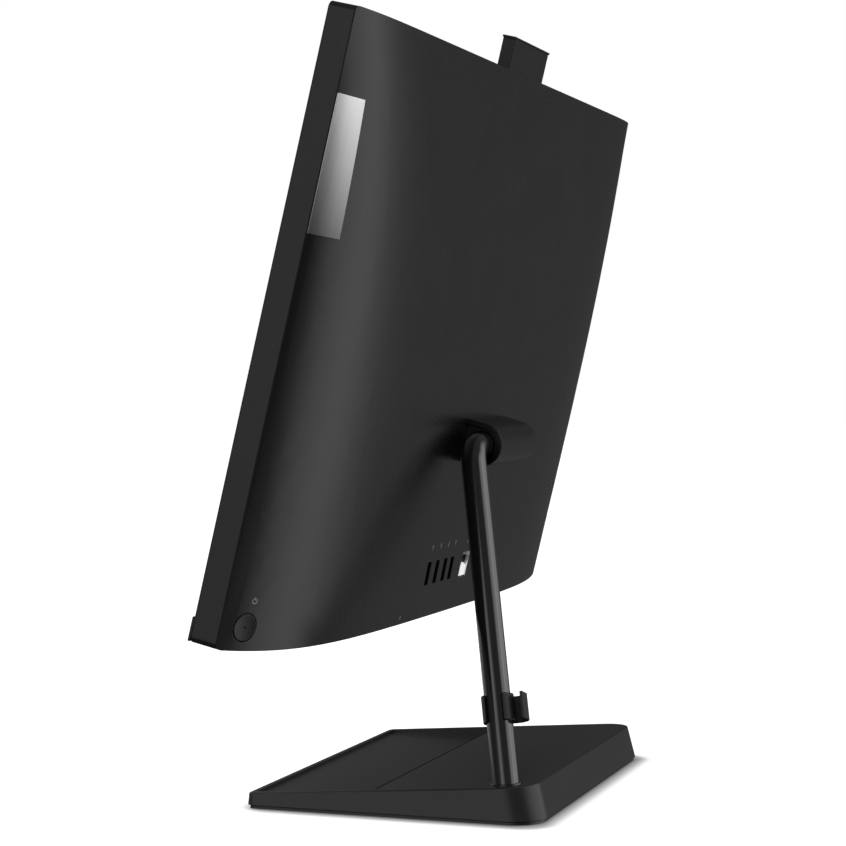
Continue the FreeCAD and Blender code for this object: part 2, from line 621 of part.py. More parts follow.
def make_fan():
    """Fan case, its lid and the bladed rotor on a pin."""
    side, low = "fan_side", "fan_height - fan_side / 2"
    case = plate("fan_case", "fan_centre", low, "fan_depth", side, side, "fan_thick - 1")
    well = sketch(case, "XZ_Plane", "-(fan_depth + 1)", "fan_centre", "fan_height")
    pocket(case, circle(well, "rotor_radius + 3"), "fan_thick")
    mouth = sketch(case, "XZ_Plane", "-(fan_depth + 1)", "fan_centre", "fan_height - fan_side / 4 - 5")
    pocket(case, rectangle(mouth, "2 * rotor_radius", "fan_side / 2 + 10"), "fan_thick")
    pin = sketch(case, "XZ_Plane", "-fan_depth", "fan_centre", "fan_height")
    pad(case, circle(pin, 1.5), "fan_thick - 2.5", backward=True)
    piece(case, "fan_case", DISPLAY)
    lid = plate("fan_lid", "fan_centre", low, "fan_depth + fan_thick - 1", side, side, 0.8)
    drill(lid, "fan_depth + fan_thick - 1", 0.8, 20, [("fan_centre", "fan_height")])
    piece(lid, "fan_lid", DISPLAY)
    rotor = body("fan_rotor")
    floor = "-(fan_depth + 1.5)"
    hub = sketch(rotor, "XZ_Plane", floor)
    pad(rotor, circle(hub, "hub_radius"), "fan_thick - 3.2", backward=True)
    blade = sketch(rotor, "XZ_Plane", floor, "(rotor_radius + hub_radius) / 2 - 0.5")
    rectangle(blade, "rotor_radius - hub_radius + 1", 1.2)
    vane = pad(rotor, blade, "fan_thick - 3.4", backward=True)
    doc.recompute()
    ring = rotor.newObject("PartDesign::PolarPattern", "Vanes")
    ring.Originals = [vane]
    ring.Axis = (hub, ["N_Axis"])
    ring.Angle = 360
    ring.Occurrences = 17
    rotor.Tip = ring
    pocket(rotor, circle(sketch(rotor, "XZ_Plane", floor), 1.56), "fan_thick - 3.5")
    spot = Placement(Vector(size("fan_centre"), 0, size("fan_height")), Rotation())
    piece(rotor, "fan_rotor", DISPLAY.multiply(spot))


# ------------------------------------------------------------------ camera and power button

def make_camera():
    """Camera box that slides in a guide, its lens and its cap."""
    gap, half = "camera_gap", "camera_width / 2"
    low = "camera_top - camera_tall"
    case = block(f"-{half}", "camera_front", low, "camera_width", "camera_thick",
                 "camera_tall - cap_thick")
    eye_height, wall = "camera_top - 8.6", 1.2
    eye = rod("y", 0, "camera_front - 1", eye_height, 3.6, 3)
    room = block(f"-{half} + {wall}", f"camera_front + {wall}", f"{low} + {wall}",
                 f"camera_width - 2 * {wall}", f"camera_thick - 2 * {wall}",
                 f"camera_tall - cap_thick - 2 * {wall}")
    piece(without(case, eye, room), "camera_case", DISPLAY)
    piece(group([rod("y", 0, "camera_front + 0.2", eye_height, 3.5, 1.8)]), "camera_lens", DISPLAY)
    board = plate("camera_board", 0, "camera_top - 16", "camera_front + 3.4", 60, 13, 1)
    piece(board, "camera_board", DISPLAY)
    thick, over = size("cap_thick"), size("cap_over")
    corner = Vector(-size("camera_width") / 2 - over, size("camera_front") - 0.2,
                    size("camera_top") - thick)
    cap = Part.makeBox(size("camera_width") + 2 * over, size("camera_thick") + 0.5, thick, corner)
    shaped("camera_cap", rounded_top(cap, 0.4), DISPLAY)
    rail, rail_deep, rail_low = 2, 8.4, 262
    rails = [block(f"{side} * ({half} + {gap} + {rail} / 2) - {rail} / 2", CHASSIS_BACK, rail_low,
                   rail, rail_deep, 40) for side in (-1, 1)]
    bridge = block(f"-{half} - {gap} - {rail}", CHASSIS_BACK, rail_low,
                   f"camera_width + 2 * ({gap} + {rail})", rail_deep, rail)
    piece(joined(bridge, *rails), "camera_guide", DISPLAY)


def make_power_button():
    """Dished round button, the holder behind it and its switch board."""
    place = DISPLAY.multiply(button_place())
    radius, thick = size("button_radius"), size("button_thick")
    cap = Part.makeCylinder(radius, thick, Vector(0, 0, 0.1 - thick))
    dish_radius = 60.0
    dish = Part.makeSphere(dish_radius, Vector(0, 0, dish_radius - 0.35))
    dot = Part.makeCylinder(0.55, 1, Vector(0, 0, -0.9))
    stem = Part.makeCylinder(1.6, 1.6, Vector(0, 0, -thick - 1.4))
    skirt = Part.makeCylinder(radius + 1, 0.8, Vector(0, 0, -thick - 0.2))
    cap = cap.cut(dish)
    rim = [edge for edge in cap.Edges if edge.BoundBox.ZMin > -0.1 and edge.BoundBox.XLength > radius]
    cap = cap.makeFillet(0.35, rim).cut(dot)
    shaped("power_button", cap.fuse([stem, skirt]).removeSplitter(), place)
    floor = -thick - size("button_travel") - 3.5
    rim = -3.7
    cup = Part.makeCylinder(radius + 2.4, rim - floor, Vector(0, 0, floor))
    bore = Part.makeCylinder(radius + 1.5, 20, Vector(0, 0, floor + 1))
    shaped("button_holder", cup.cut(bore), place)
    shaped("button_switch", Part.makeCylinder(2.6, 0.9, Vector(0, 0, floor + 1)), place)


# ------------------------------------------------------------------ hinge

def housing_profile(shrink):
    """Side outline of the hinge housing: flat sloping top, round nose, flat underside."""
    depth, height = size("axis_depth"), size("axis_height")
    radius = size("nose_radius") - shrink
    slope = math.radians(size("housing_slope"))
    root = 25.0
    top = Vector(0, depth + radius * math.sin(slope), height + radius * math.cos(slope))
    back = Vector(0, root, top.z + (top.y - root) * math.tan(slope))
    under = Vector(0, depth, height - radius)
    corner = Vector(0, root, height - radius)
    nose = Vector(0, depth + radius, height)
    return Part.Face(Part.Wire([Part.makeLine(corner, under), Part.Arc(under, nose, top).toShape(),
                                Part.makeLine(top, back), Part.makeLine(back, corner)]))


def housing_slab(shrink, x_from, x_to):
    """The housing's outline, shrunk, as a slab along the hinge axis."""
    face = housing_profile(shrink)
    face.translate(Vector(x_from, 0, 0))
    return face.extrude(Vector(x_to - x_from, 0, 0))


def make_hinge_housing():
    """Hook-shaped cover over the hinge and the plate that closes its near end."""
    near, far, wall = size("housing_near"), size("housing_far"), size("housing_wall")
    outer = housing_slab(0, far, near)
    for end, round_edge in ((far, 2.0), (near, 0.5)):
        rim = [edge for edge in outer.Edges if all(abs(v.X - end) < 1e-6 for v in edge.Vertexes)
               and edge.CenterOfMass.y > 30]
        outer = outer.makeFillet(round_edge, rim)
    shell = outer.cut(housing_slab(wall, far + 2.4, near + 1)).cut(bulge_solid())
    shaped("hinge_housing", max(shell.Solids, key=lambda solid: solid.Volume), DISPLAY)
    floor = size("chassis_depth") + size("chassis_thick") + 2.5
    closing = housing_slab(wall + 0.5, near - 2.8, near - 1.2)
    flange = Part.makeBox(1.6, 34, 16, Vector(near - 2.8, floor, size("axis_height") - 8))
    hole = Part.makeCylinder(size("tube_radius") + 0.5, 10,
                             Vector(near - 6, size("axis_depth"), size("axis_height")), X_AXIS)
    plate_shape = closing.cut(bulge_solid(0.1)).fuse(flange).cut(hole).removeSplitter()
    shaped("hinge_end_plate", plate_shape, DISPLAY)


def on_axis(x, radius, length):
    """A rod about the hinge axis, from x along +X, in the display's frame."""
    return rod("x", x, "axis_depth", "axis_height", radius, length)


def make_hinge():
    """Bracket on the chassis, shaft through its ears, and the friction stack."""
    thick = 2.5
    base = block(-46, CHASSIS_BACK, 76, 80, thick, 72)
    ears = []
    for start in ("ear_near", "ear_far"):
        ears.append(block(start, CHASSIS_BACK, "axis_height - ear_radius", "ear_thick",
                          f"axis_depth - ({CHASSIS_BACK})", "2 * ear_radius"))
        ears.append(on_axis(start, "ear_radius", "ear_thick"))
    bores = [rod("y", across, 5, height, 2.1, 20) for across, height in HINGE_SCREWS]
    bores.append(on_axis(-50, "shaft_radius + shaft_clear", 100))
    piece(without(joined(base, *ears), *bores), "hinge_bracket", DISPLAY)
    screws = [screw("y", across, f"{CHASSIS_BACK} + {thick}", height, 3.6, 2, 1.95, 5)
              for across, height in HINGE_SCREWS]
    piece(group(screws), "hinge_screws", DISPLAY)


def make_shaft():
    """Steel shaft in the end of the tube, with a sleeve, spring washers and a nut."""
    plug = on_axis("tube_end", "tube_bore - 0.02", 10)
    pin = on_axis("ear_far - 9", "shaft_radius", "tube_end - (ear_far - 9)")
    piece(joined(plug, pin), "hinge_shaft", DISPLAY)
    sleeve = without(on_axis("ear_far + ear_thick + 0.3", 6.4, "ear_near - ear_far - ear_thick - 0.6"),
                     on_axis("ear_far", "shaft_radius", 50))
    piece(sleeve, "friction_sleeve", DISPLAY)
    thick = 0.8
    washers = [without(on_axis(f"ear_far - 0.3 - {thick} * {number}", 6.8, thick),
                       on_axis("ear_far - 10", "shaft_radius", 20)) for number in range(1, 5)]
    piece(group(washers), "friction_washers", DISPLAY)
    nut = body("hinge_nut")
    start, thick = "ear_far - 8.4", 4.4
    pad(nut, circle(sketch(nut, "YZ_Plane", start), 6.2), thick)
    pocket(nut, circle(sketch(nut, "YZ_Plane", f"{start} + {thick}"), "shaft_radius"), thick + 1)
    spot = Placement(Vector(0, size("axis_depth"), size("axis_height")), Rotation())
    piece(nut, "hinge_nut", DISPLAY.multiply(spot))


# ------------------------------------------------------------------ tube and base

def make_tube():
    """Bent tube: up from the base, round a bend and along the hinge axis."""
    owner = body("stand_tube")
    spine = sketch(owner, "XZ_Plane")
    bend, drop = size("tube_bend"), tube_length()
    slant = math.radians(size("tube_slant"))
    reach = size("tube_across") - size("tube_end")
    before = bend * math.tan((math.pi / 2 - slant) / 2)
    turned = (math.pi / 2 - slant) / 2
    level = Vector(-math.cos(slant), math.sin(slant))
    middle = Vector(bend * (math.cos(turned) - 1), bend * math.sin(turned) - before)
    upright = spine.addGeometry(Part.LineSegment(Vector(0, -drop), Vector(0, -before)))
    turn = spine.addGeometry(Part.Arc(Vector(0, -before), middle, level * before))
    run = spine.addGeometry(Part.LineSegment(level * before, level * reach))
    for constraint in (("Vertical", upright), ("Coincident", upright, 2, turn, 1),
                       ("Coincident", turn, 2, run, 1), ("PointOnObject", upright, 1, -2)):
        spine.addConstraint(Sketcher.Constraint(*constraint))
    spine.setExpression(f"Constraints[{spine.addConstraint(Sketcher.Constraint('Radius', turn, bend))}]",
                        linked("tube_bend"))
    for geometry, point, spot in ((upright, 1, Vector(0, -drop)), (upright, 2, Vector(0, -before)),
                                  (turn, 2, level * before), (run, 2, level * reach)):
        if spot.x:
            spine.addConstraint(Sketcher.Constraint("DistanceX", geometry, point, -1, 1, -spot.x))
        spine.addConstraint(Sketcher.Constraint("DistanceY", -1, 1, geometry, point, spot.y))
    ring = sketch(owner, "XY_Plane", -drop)
    circle(ring, "tube_radius")
    circle(ring, "tube_bore")
    sweep = owner.newObject("PartDesign::AdditivePipe", "Bend")
    sweep.Profile = ring
    sweep.Spine = spine
    piece(owner, "stand_tube", tube_frame())


def tube_length():
    """From the hinge axis down the slanting tube to its foot inside the base."""
    frame = tube_frame()
    return (frame.Base.z - size("tube_foot")) / frame.Rotation.multVec(Z_AXIS).z


def slope_height(y):
    """Height of the base's sloping top at a place along Y."""
    half = size("base_length") / 2
    return size("base_front") + (size("base_rear") - size("base_front")) * (y + half) / (2 * half)


def base_block(inset, low, drop):
    """The wedge with drafted sides and rounded corners, shrunk by the inset; drop lowers its top."""
    half_x, half_y = size("base_width") / 2 - inset, size("base_length") / 2 - inset
    tall = size("base_rear") + 6
    side = math.tan(math.radians(size("side_draft"))) * tall
    rear = math.tan(math.radians(size("rear_draft"))) * tall
    bottom = [Vector(-half_x, -half_y, 0), Vector(half_x, -half_y, 0), Vector(half_x, half_y, 0),
              Vector(-half_x, half_y, 0)]
    top = [Vector(-half_x + side, -half_y + side, tall), Vector(half_x - side, -half_y + side, tall),
           Vector(half_x - side, half_y - rear, tall), Vector(-half_x + side, half_y - rear, tall)]
    loops = [Part.makePolygon(points + points[:1]) for points in (bottom, top)]
    solid = Part.makeLoft(loops, True, True)
    upright = [edge for edge in solid.Edges if abs(edge.Vertexes[0].Z - edge.Vertexes[1].Z) > 1]
    rear_edges = [edge for edge in upright if edge.CenterOfMass.y > 0]
    solid = solid.makeFillet(size("rear_round") - inset, rear_edges)
    front_edges = [edge for edge in solid.Edges if abs(edge.Vertexes[0].Z - edge.Vertexes[-1].Z) > 1
                   and edge.CenterOfMass.y < -half_y + side]
    solid = solid.makeFillet(max(size("front_round") - inset, 0.8), front_edges)
    return solid.common(sloping_slab(half_x + 5, -half_y - 5, half_y + 5, low, drop))


def rounded_top(solid, radius):
    """The solid with the edges of its highest face rounded."""
    face = max(solid.Faces, key=lambda face: face.CenterOfMass.z)
    return solid.makeFillet(radius, face.Edges)


def sloping_slab(half_x, y_from, y_to, low, drop):
    """A slab under the base's sloping top, lowered by the drop; its underside is level at low."""
    side = [Vector(-half_x, y_from, low), Vector(-half_x, y_to, low),
            Vector(-half_x, y_to, slope_height(y_to) - drop),
            Vector(-half_x, y_from, slope_height(y_from) - drop)]
    return Part.Face(Part.makePolygon(side + side[:1])).extrude(Vector(2 * half_x, 0, 0))


BASE_SCREWS = [(x, y) for x in (-70, 70) for y in (-62, 60)] + [(0, 60)]
FEET = [(x, y) for x in (-98, 98) for y in (-64, 50)]


def tray_block(grow, low):
    """The pen tray's recess, grown sideways by a wall, from a floor upward."""
    half = size("base_width") / 2 - size("tray_rim") - 0.6
    front = size("tray_rim") - size("base_length") / 2
    long = size("tray_back") - front
    return Part.makeBox(2 * (half + grow), long + 2 * grow, 40, Vector(-half - grow, front - grow, low))


def tube_rod(radius, low, length):
    """A rod about the tube's lower part, measured up from the tube's foot."""
    shape = Part.makeCylinder(radius, length, Vector(0, 0, low - tube_length()))
    shape.Placement = tube_frame()
    return shape


def layer(inset, low, high):
    """A level slice of the base's outline."""
    return base_block(inset, 0, 0).common(Part.makeBox(400, 400, high - low, Vector(-200, -200, low)))


def upright_rods(radius, low, length, spots):
    """Upright rods of one size at several spots."""
    return [Part.makeCylinder(radius, length, Vector(x, y, low)) for x, y in spots]


def make_base():
    """Top shell with a pen tray, steel weight, sole, feet and screws."""
    wall, floor, low = size("base_wall"), size("tray_floor"), size("shell_low")
    outer = rounded_top(base_block(0, low, 0), 1.0)
    inner = base_block(wall, 0, wall).cut(tray_block(wall, floor - wall))
    bosses = [boss.common(outer) for boss in upright_rods(4, low, 20, BASE_SCREWS)]
    sleeve = tube_rod(size("tube_radius") + 3, -10, 40).common(outer)
    shell = outer.cut(inner).fuse(bosses + [sleeve]).cut(tray_block(0, floor))
    shell = shell.cut(upright_rods(1.3, low - 1, 5, BASE_SCREWS))
    shell = shell.cut(tube_rod(size("tube_radius") + 0.1, -20, 80))
    shaped("base_shell", shell.removeSplitter())
    bottom, thick = size("sole_low"), size("sole_thick")
    sole = layer(size("sole_inset"), bottom, bottom + thick).fuse(layer(wall + 0.3, bottom, low))
    cuts = upright_rods(1.7, 0, 10, BASE_SCREWS) + upright_rods(3.3, 0, 1.8, BASE_SCREWS)
    cuts += upright_rods(size("foot_radius"), 0, size("foot_tall"), FEET)
    cuts += [tube_rod(2.4, -20, 30), tube_rod(4.6, -20, 15.9)]
    shaped("base_sole", sole.cut(cuts).removeSplitter())
    feet = [rod("z", x, y, 0, "foot_radius - 0.05", "foot_tall") for x, y in FEET]
    piece(group(feet), "rubber_feet")
    screws = [joined(rod("z", x, y, "sole_low + 0.2", 3.1, 1), rod("z", x, y, "sole_low + 1", 1.25, 4.4))
              for x, y in BASE_SCREWS]
    piece(group(screws), "base_screws")
    weight = Part.makeBox(204, 146, size("weight_thick"), Vector(-102, -74, low))
    weight = weight.cut(upright_rods(4.3, 0, 20, BASE_SCREWS))
    weight = weight.cut(tube_rod(size("tube_radius") + 3.4, -20, 60))
    shaped("base_weight", weight.common(base_block(wall + 1, 0, wall)))


def make_tube_fixings():
    """Threaded plug in the tube's foot, the screw up into it and the collar round the tube."""
    plug = rod("z", 0, 0, f"-{tube_length()}", "tube_bore - 0.02", 12)
    piece(without(plug, rod("z", 0, 0, f"-{tube_length()}", 2.05, 10)), "tube_plug", tube_frame())
    head = rod("z", 0, 0, f"-{tube_length()} - 5.2", 4.2, 1)
    shank = rod("z", 0, 0, f"-{tube_length()} - 4.4", 2, 12)
    piece(joined(head, shank), "tube_screw", tube_frame())
    ring = tube_rod(size("tube_radius") + 1.4, 0, 30)
    wide = size("base_width") / 2
    proud = sloping_slab(wide, 0, wide, 0, -0.9).cut(sloping_slab(wide, 0, wide, 0, 0))
    collar = rounded_top(ring.common(proud), 0.35)
    shaped("tube_collar", collar.cut(tube_rod(size("tube_radius") + 0.02, -5, 80)))


def make_cable_clip():
    """Open ring that snaps round the tube, with a hook beside it for a lead."""
    tall, bore, outer = size("clip_tall"), size("clip_bore"), size("clip_outer")
    inner_y, outer_y = size("hook_inner"), size("hook_outer")
    ring = Part.makeCylinder(outer, tall)
    bend = Vector(-4.6, 9.2, 0)
    hook = Part.makeCylinder(outer_y - bend.y, tall, bend)
    arm = Part.makeBox(3 - bend.x, outer_y - inner_y, tall, Vector(bend.x, inner_y, 0))
    channel = Part.makeCylinder(inner_y - bend.y, tall, bend)
    room = inner_y - bend.y
    channel = channel.fuse(Part.makeBox(30, 2 * room, tall, Vector(bend.x, bend.y - room, 0)))
    beyond = Part.makeBox(30, 60, tall, Vector(bend.x, -30, 0))
    below = Part.makeBox(60, 60, tall, Vector(-30, 3 - 60, 0))
    clip = hook.cut([beyond, below]).fuse(arm).cut(channel)
    half_mouth = 5.2
    mouth = Part.makeBox(20, 2 * half_mouth, tall, Vector(4.2, -half_mouth, 0))
    clip = clip.fuse(ring).cut(Part.makeCylinder(bore, tall)).cut(mouth).removeSplitter()
    clip = clip.makeFillet(0.3, [edge for edge in clip.Edges if edge.BoundBox.ZLength < 1e-3])
    place = tube_frame().multiply(Placement(Vector(0, 0, -size("clip_below") - tall), Rotation()))
    shaped("cable_clip", clip, place)


# ------------------------------------------------------------------ build, check and write

for make in (make_side_frame, make_chin, make_screen, make_chassis, make_back_cover, make_name_plate,
             make_mainboard, make_ports, make_cards, make_storage, make_speakers, make_cooler, make_fan,
             make_camera, make_power_button, make_hinge_housing, make_hinge, make_shaft, make_tube,
             make_base, make_tube_fixings, make_cable_clip):
    make()
doc.recompute()

for thing in doc.Objects:
    if "Invalid" in thing.State or "Error" in thing.State:
        raise RuntimeError(f"{thing.Label} did not build: {thing.State}")
for thing in PIECES:
    if thing.Shape.isNull() or not thing.Shape.isValid() or not thing.Shape.Solids:
        raise RuntimeError(f"{thing.Label} is not a valid solid")
for thing in PIECES:
    thing.Shape.exportStep(os.path.join("parts", thing.Label + ".step"))
print(len(PIECES), "pieces written")
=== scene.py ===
"""The looks of an all-in-one desktop computer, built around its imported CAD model.

World frame: metres, +Z up, +X to the right of someone facing the screen, the screen faces -Y.
The display's own frame is used for its details: across along the width from the middle, depth
behind the front face, height above the bottom edge, all in millimetres.
"""
import math

import bmesh
import bpy
from mathutils import Matrix, Vector
from mathutils.bvhtree import BVHTree


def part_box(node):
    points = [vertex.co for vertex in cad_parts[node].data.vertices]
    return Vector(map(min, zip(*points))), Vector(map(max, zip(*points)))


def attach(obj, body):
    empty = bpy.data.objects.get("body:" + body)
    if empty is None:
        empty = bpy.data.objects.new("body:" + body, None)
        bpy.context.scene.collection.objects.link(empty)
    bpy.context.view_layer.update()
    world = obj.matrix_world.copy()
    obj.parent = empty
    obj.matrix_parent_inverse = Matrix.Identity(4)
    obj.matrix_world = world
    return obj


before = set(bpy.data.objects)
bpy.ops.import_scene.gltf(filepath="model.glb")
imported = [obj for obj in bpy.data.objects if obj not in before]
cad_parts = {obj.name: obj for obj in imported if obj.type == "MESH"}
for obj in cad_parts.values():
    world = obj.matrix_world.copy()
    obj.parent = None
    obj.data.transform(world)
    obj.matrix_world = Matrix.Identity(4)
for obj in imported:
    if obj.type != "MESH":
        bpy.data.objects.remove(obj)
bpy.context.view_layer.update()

scene = bpy.context.scene
scene.view_settings.view_transform = "Standard"
MM = 0.001

# ------------------------------------------------------------------ the display's own frame

LEAN = math.radians(13.5)
TURN = Matrix.Rotation(-LEAN, 3, "X")


def display_matrix():
    """From millimetres in the display's frame to metres in the world."""
    frame_points = [TURN.transposed() @ vertex.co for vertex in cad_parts["side_frame"].data.vertices]
    origin = Vector((0, min(point.y for point in frame_points), min(point.z for point in frame_points)))
    return TURN.to_4x4() @ Matrix.Translation(origin) @ Matrix.Scale(MM, 4)


DISPLAY = display_matrix()
TO_DISPLAY = DISPLAY.inverted()


def display_points(node):
    """A CAD node's vertices in the display's frame."""
    return [TO_DISPLAY @ vertex.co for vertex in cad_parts[node].data.vertices]


def faces_of(node):
    """A CAD node's faces, as lists of vertex numbers."""
    return [face.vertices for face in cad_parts[node].data.polygons]


def display_box(node):
    """Low and high corners of a CAD node in the display's frame."""
    points = display_points(node)
    return (Vector([min(point[axis] for point in points) for axis in range(3)]),
            Vector([max(point[axis] for point in points) for axis in range(3)]))


def runs(places, gap):
    """Sorted numbers split into (low, high) runs wherever they jump by more than the gap."""
    places = sorted(places)
    split = [[places[0], places[0]]]
    for place in places[1:]:
        if place - split[-1][1] > gap:
            split.append([place, place])
        split[-1][1] = place
    return split


# ------------------------------------------------------------------ camera

# the view fitted to the photograph's outline: metres, degrees and millimetres
CAMERA_PLACE = (1.26988, 0.41294, 0.24393)
CAMERA_YAW, CAMERA_PITCH, CAMERA_ROLL = 18.86, 1.31, -0.06
SENSOR_WIDTH, FOCAL_LENGTH = 36.0, 95.85


def aim(thing, target, roll=0.0):
    """Turns a camera or light so that it looks at the target."""
    direction = (Vector(target) - thing.location).normalized()
    turn = direction.to_track_quat("-Z", "Y").to_matrix() @ Matrix.Rotation(roll, 3, "Z")
    thing.rotation_euler = turn.to_euler()


def make_camera():
    """The photograph's view: from behind and from the display's right-hand end."""
    data = bpy.data.cameras.new("camera")
    data.sensor_width = SENSOR_WIDTH
    data.lens = FOCAL_LENGTH
    data.clip_end = 50.0
    camera = bpy.data.objects.new("camera", data)
    scene.collection.objects.link(camera)
    yaw, pitch, roll = (math.radians(angle) for angle in (CAMERA_YAW, CAMERA_PITCH, CAMERA_ROLL))
    camera.location = CAMERA_PLACE
    looking = Vector((-math.cos(yaw) * math.cos(pitch), -math.sin(yaw) * math.cos(pitch),
                      -math.sin(pitch)))
    aim(camera, camera.location + looking, roll)
    scene.camera = camera


# ------------------------------------------------------------------ lamps


def softbox(name, place, target, width, height, power):
    """A large soft studio lamp."""
    data = bpy.data.lights.new(name, "AREA")
    data.shape = "RECTANGLE"
    data.size = width
    data.size_y = height
    data.energy = power
    lamp = bpy.data.objects.new(name, data)
    lamp.location = place
    scene.collection.objects.link(lamp)
    aim(lamp, target)
    return lamp


# ------------------------------------------------------------------ material parts


class Look:
    """A node tree with short ways to add to it."""

    def __init__(self, name, **values):
        self.material = bpy.data.materials.new(name)
        self.material.use_nodes = True
        self.nodes = self.material.node_tree.nodes
        self.links = self.material.node_tree.links
        self.shader = self.nodes["Principled BSDF"]
        for socket, value in values.items():
            self.shader.inputs[socket.replace("_", " ")].default_value = value
        self.place = self.nodes.new("ShaderNodeTexCoord").outputs["Object"]

    def node(self, kind, inputs=None, **settings):
        """A node with its settings, and its inputs set or linked."""
        made = self.nodes.new(kind)
        for name, value in settings.items():
            setattr(made, name, value)
        for name, value in (inputs or {}).items():
            if isinstance(value, bpy.types.NodeSocket):
                self.links.new(value, made.inputs[name])
            else:
                made.inputs[name].default_value = value
        return made

    def drawn(self, stretch):
        """The place on the piece, upright in the display's frame, drawn out along each axis."""
        made = self.node("ShaderNodeMapping", {"Vector": self.place, "Rotation": (-LEAN, 0, 0),
                                               "Scale": stretch}, vector_type="TEXTURE")
        return made.outputs[0]

    def noise(self, scale, detail=3.0, rough=0.55, stretch=None):
        """Noise by place on the piece, drawn out if asked."""
        where = self.drawn(stretch) if stretch else self.place
        made = self.node("ShaderNodeTexNoise", {"Vector": where, "Scale": scale, "Detail": detail,
                                                "Roughness": rough})
        return made.outputs["Fac"]

    def cells(self, scale, feature="F1", output="Distance", stretch=None, **inputs):
        """Voronoi cells by place on the piece."""
        where = self.drawn(stretch) if stretch else self.place
        made = self.node("ShaderNodeTexVoronoi", {"Vector": where, "Scale": scale, **inputs}, feature=feature)
        return made.outputs[output]

    def along(self, direction):
        """How far the place lies along a direction, in metres."""
        made = self.node("ShaderNodeVectorMath", {0: self.place, 1: direction}, operation="DOT_PRODUCT")
        return made.outputs["Value"]

    def span(self, value, low, high, start=0.3, end=0.7, soft=False):
        """The value's range from start to end, turned into low to high."""
        made = self.node("ShaderNodeMapRange", {"Value": value, "From Min": start, "From Max": end,
                                                "To Min": low, "To Max": high})
        if soft:
            made.interpolation_type = "SMOOTHSTEP"
        return made.outputs[0]

    def maths(self, operation, first, second=0.0, clamp=False):
        made = self.node("ShaderNodeMath", operation=operation, use_clamp=clamp)
        for index, value in enumerate((first, second)):
            if isinstance(value, bpy.types.NodeSocket):
                self.links.new(value, made.inputs[index])
            else:
                made.inputs[index].default_value = value
        return made.outputs[0]

    def shades(self, value, *stops):
        """A colour ramp; each stop is (position, colour)."""
        ramp = self.node("ShaderNodeValToRGB", {"Fac": value})
        band = ramp.color_ramp
        while len(band.elements) < len(stops):
            band.elements.new(0.5)
        for element, (position, colour) in zip(band.elements, stops):
            element.position = position
            element.color = (*colour, 1)
        return ramp.outputs["Color"]

    def blend(self, share, first, second):
        """Two colours mixed by a share."""
        made = self.node("ShaderNodeMix", data_type="RGBA")
        for name, value in (("Factor", share), ("A", first), ("B", second)):
            socket = next(s for s in made.inputs if s.name == name and s.enabled)
            if isinstance(value, bpy.types.NodeSocket):
                self.links.new(value, socket)
            else:
                socket.default_value = value if name == "Factor" else (*value, 1)
        return next(s for s in made.outputs if s.enabled)

    def edges(self, radius):
        """How near the surface is to a sharp edge, and the normal as if that edge were rounded."""
        bevel = self.node("ShaderNodeBevel", {"Radius": radius}, samples=4)
        flat = self.node("ShaderNodeNewGeometry").outputs["Normal"]
        dot = self.node("ShaderNodeVectorMath", {0: bevel.outputs[0], 1: flat}, operation="DOT_PRODUCT")
        return self.span(dot.outputs["Value"], 1.0, 0.0, 0.72, 0.995), bevel.outputs[0]

    def bump(self, *layers, normal=None):
        """Bumps from (height, depth in metres) layers, one on another."""
        for height, depth in layers:
            inputs = {"Height": height, "Distance": depth, "Strength": 1.0}
            if normal is not None:
                inputs["Normal"] = normal
            normal = self.node("ShaderNodeBump", inputs).outputs[0]
        if normal is not None:
            self.links.new(normal, self.shader.inputs["Normal"])

    def colour(self, socket):
        self.links.new(socket, self.shader.inputs["Base Color"])

    def roughness(self, socket):
        self.links.new(socket, self.shader.inputs["Roughness"])


def grey(value):
    return (value, value, value)


def plastic(name, shade, rough, grain=0.000012, round_edge=0.0005, wear=1.7, grain_size=0.00045,
            specular=0.5):
    """Moulded plastic: spark-eroded grain, faint flow clouds, rubbed edges."""
    look = Look(name, Specular_IOR_Level=specular)
    clouds = look.noise(9.0, 4.0)
    fine = look.noise(1.0 / grain_size, 2.0, 0.6)
    specks = look.noise(0.35 / grain_size, 2.0, 0.5)
    edge, rounded = look.edges(round_edge)
    tone = look.shades(look.span(clouds, 0.0, 1.0, 0.25, 0.75),
                       (0.0, grey(shade * 0.9)), (1.0, grey(shade * 1.1)))
    speckled = look.blend(look.span(fine, 0.0, 0.5, 0.5, 0.75), tone, grey(shade * 1.35))
    rubbed = look.maths("MULTIPLY", edge, look.span(look.noise(160.0, 3.0), 0.35, 0.9))
    look.colour(look.blend(rubbed, speckled, grey(shade * wear)))
    smears = look.span(look.noise(22.0, 5.0, 0.6), -0.015, 0.015)
    even = look.maths("ADD", look.span(specks, rough - 0.015, rough + 0.02), smears)
    look.roughness(look.maths("SUBTRACT", even, look.maths("MULTIPLY", rubbed, 0.08)))
    look.bump((fine, grain), (specks, grain * 0.8), normal=rounded)
    return look.material


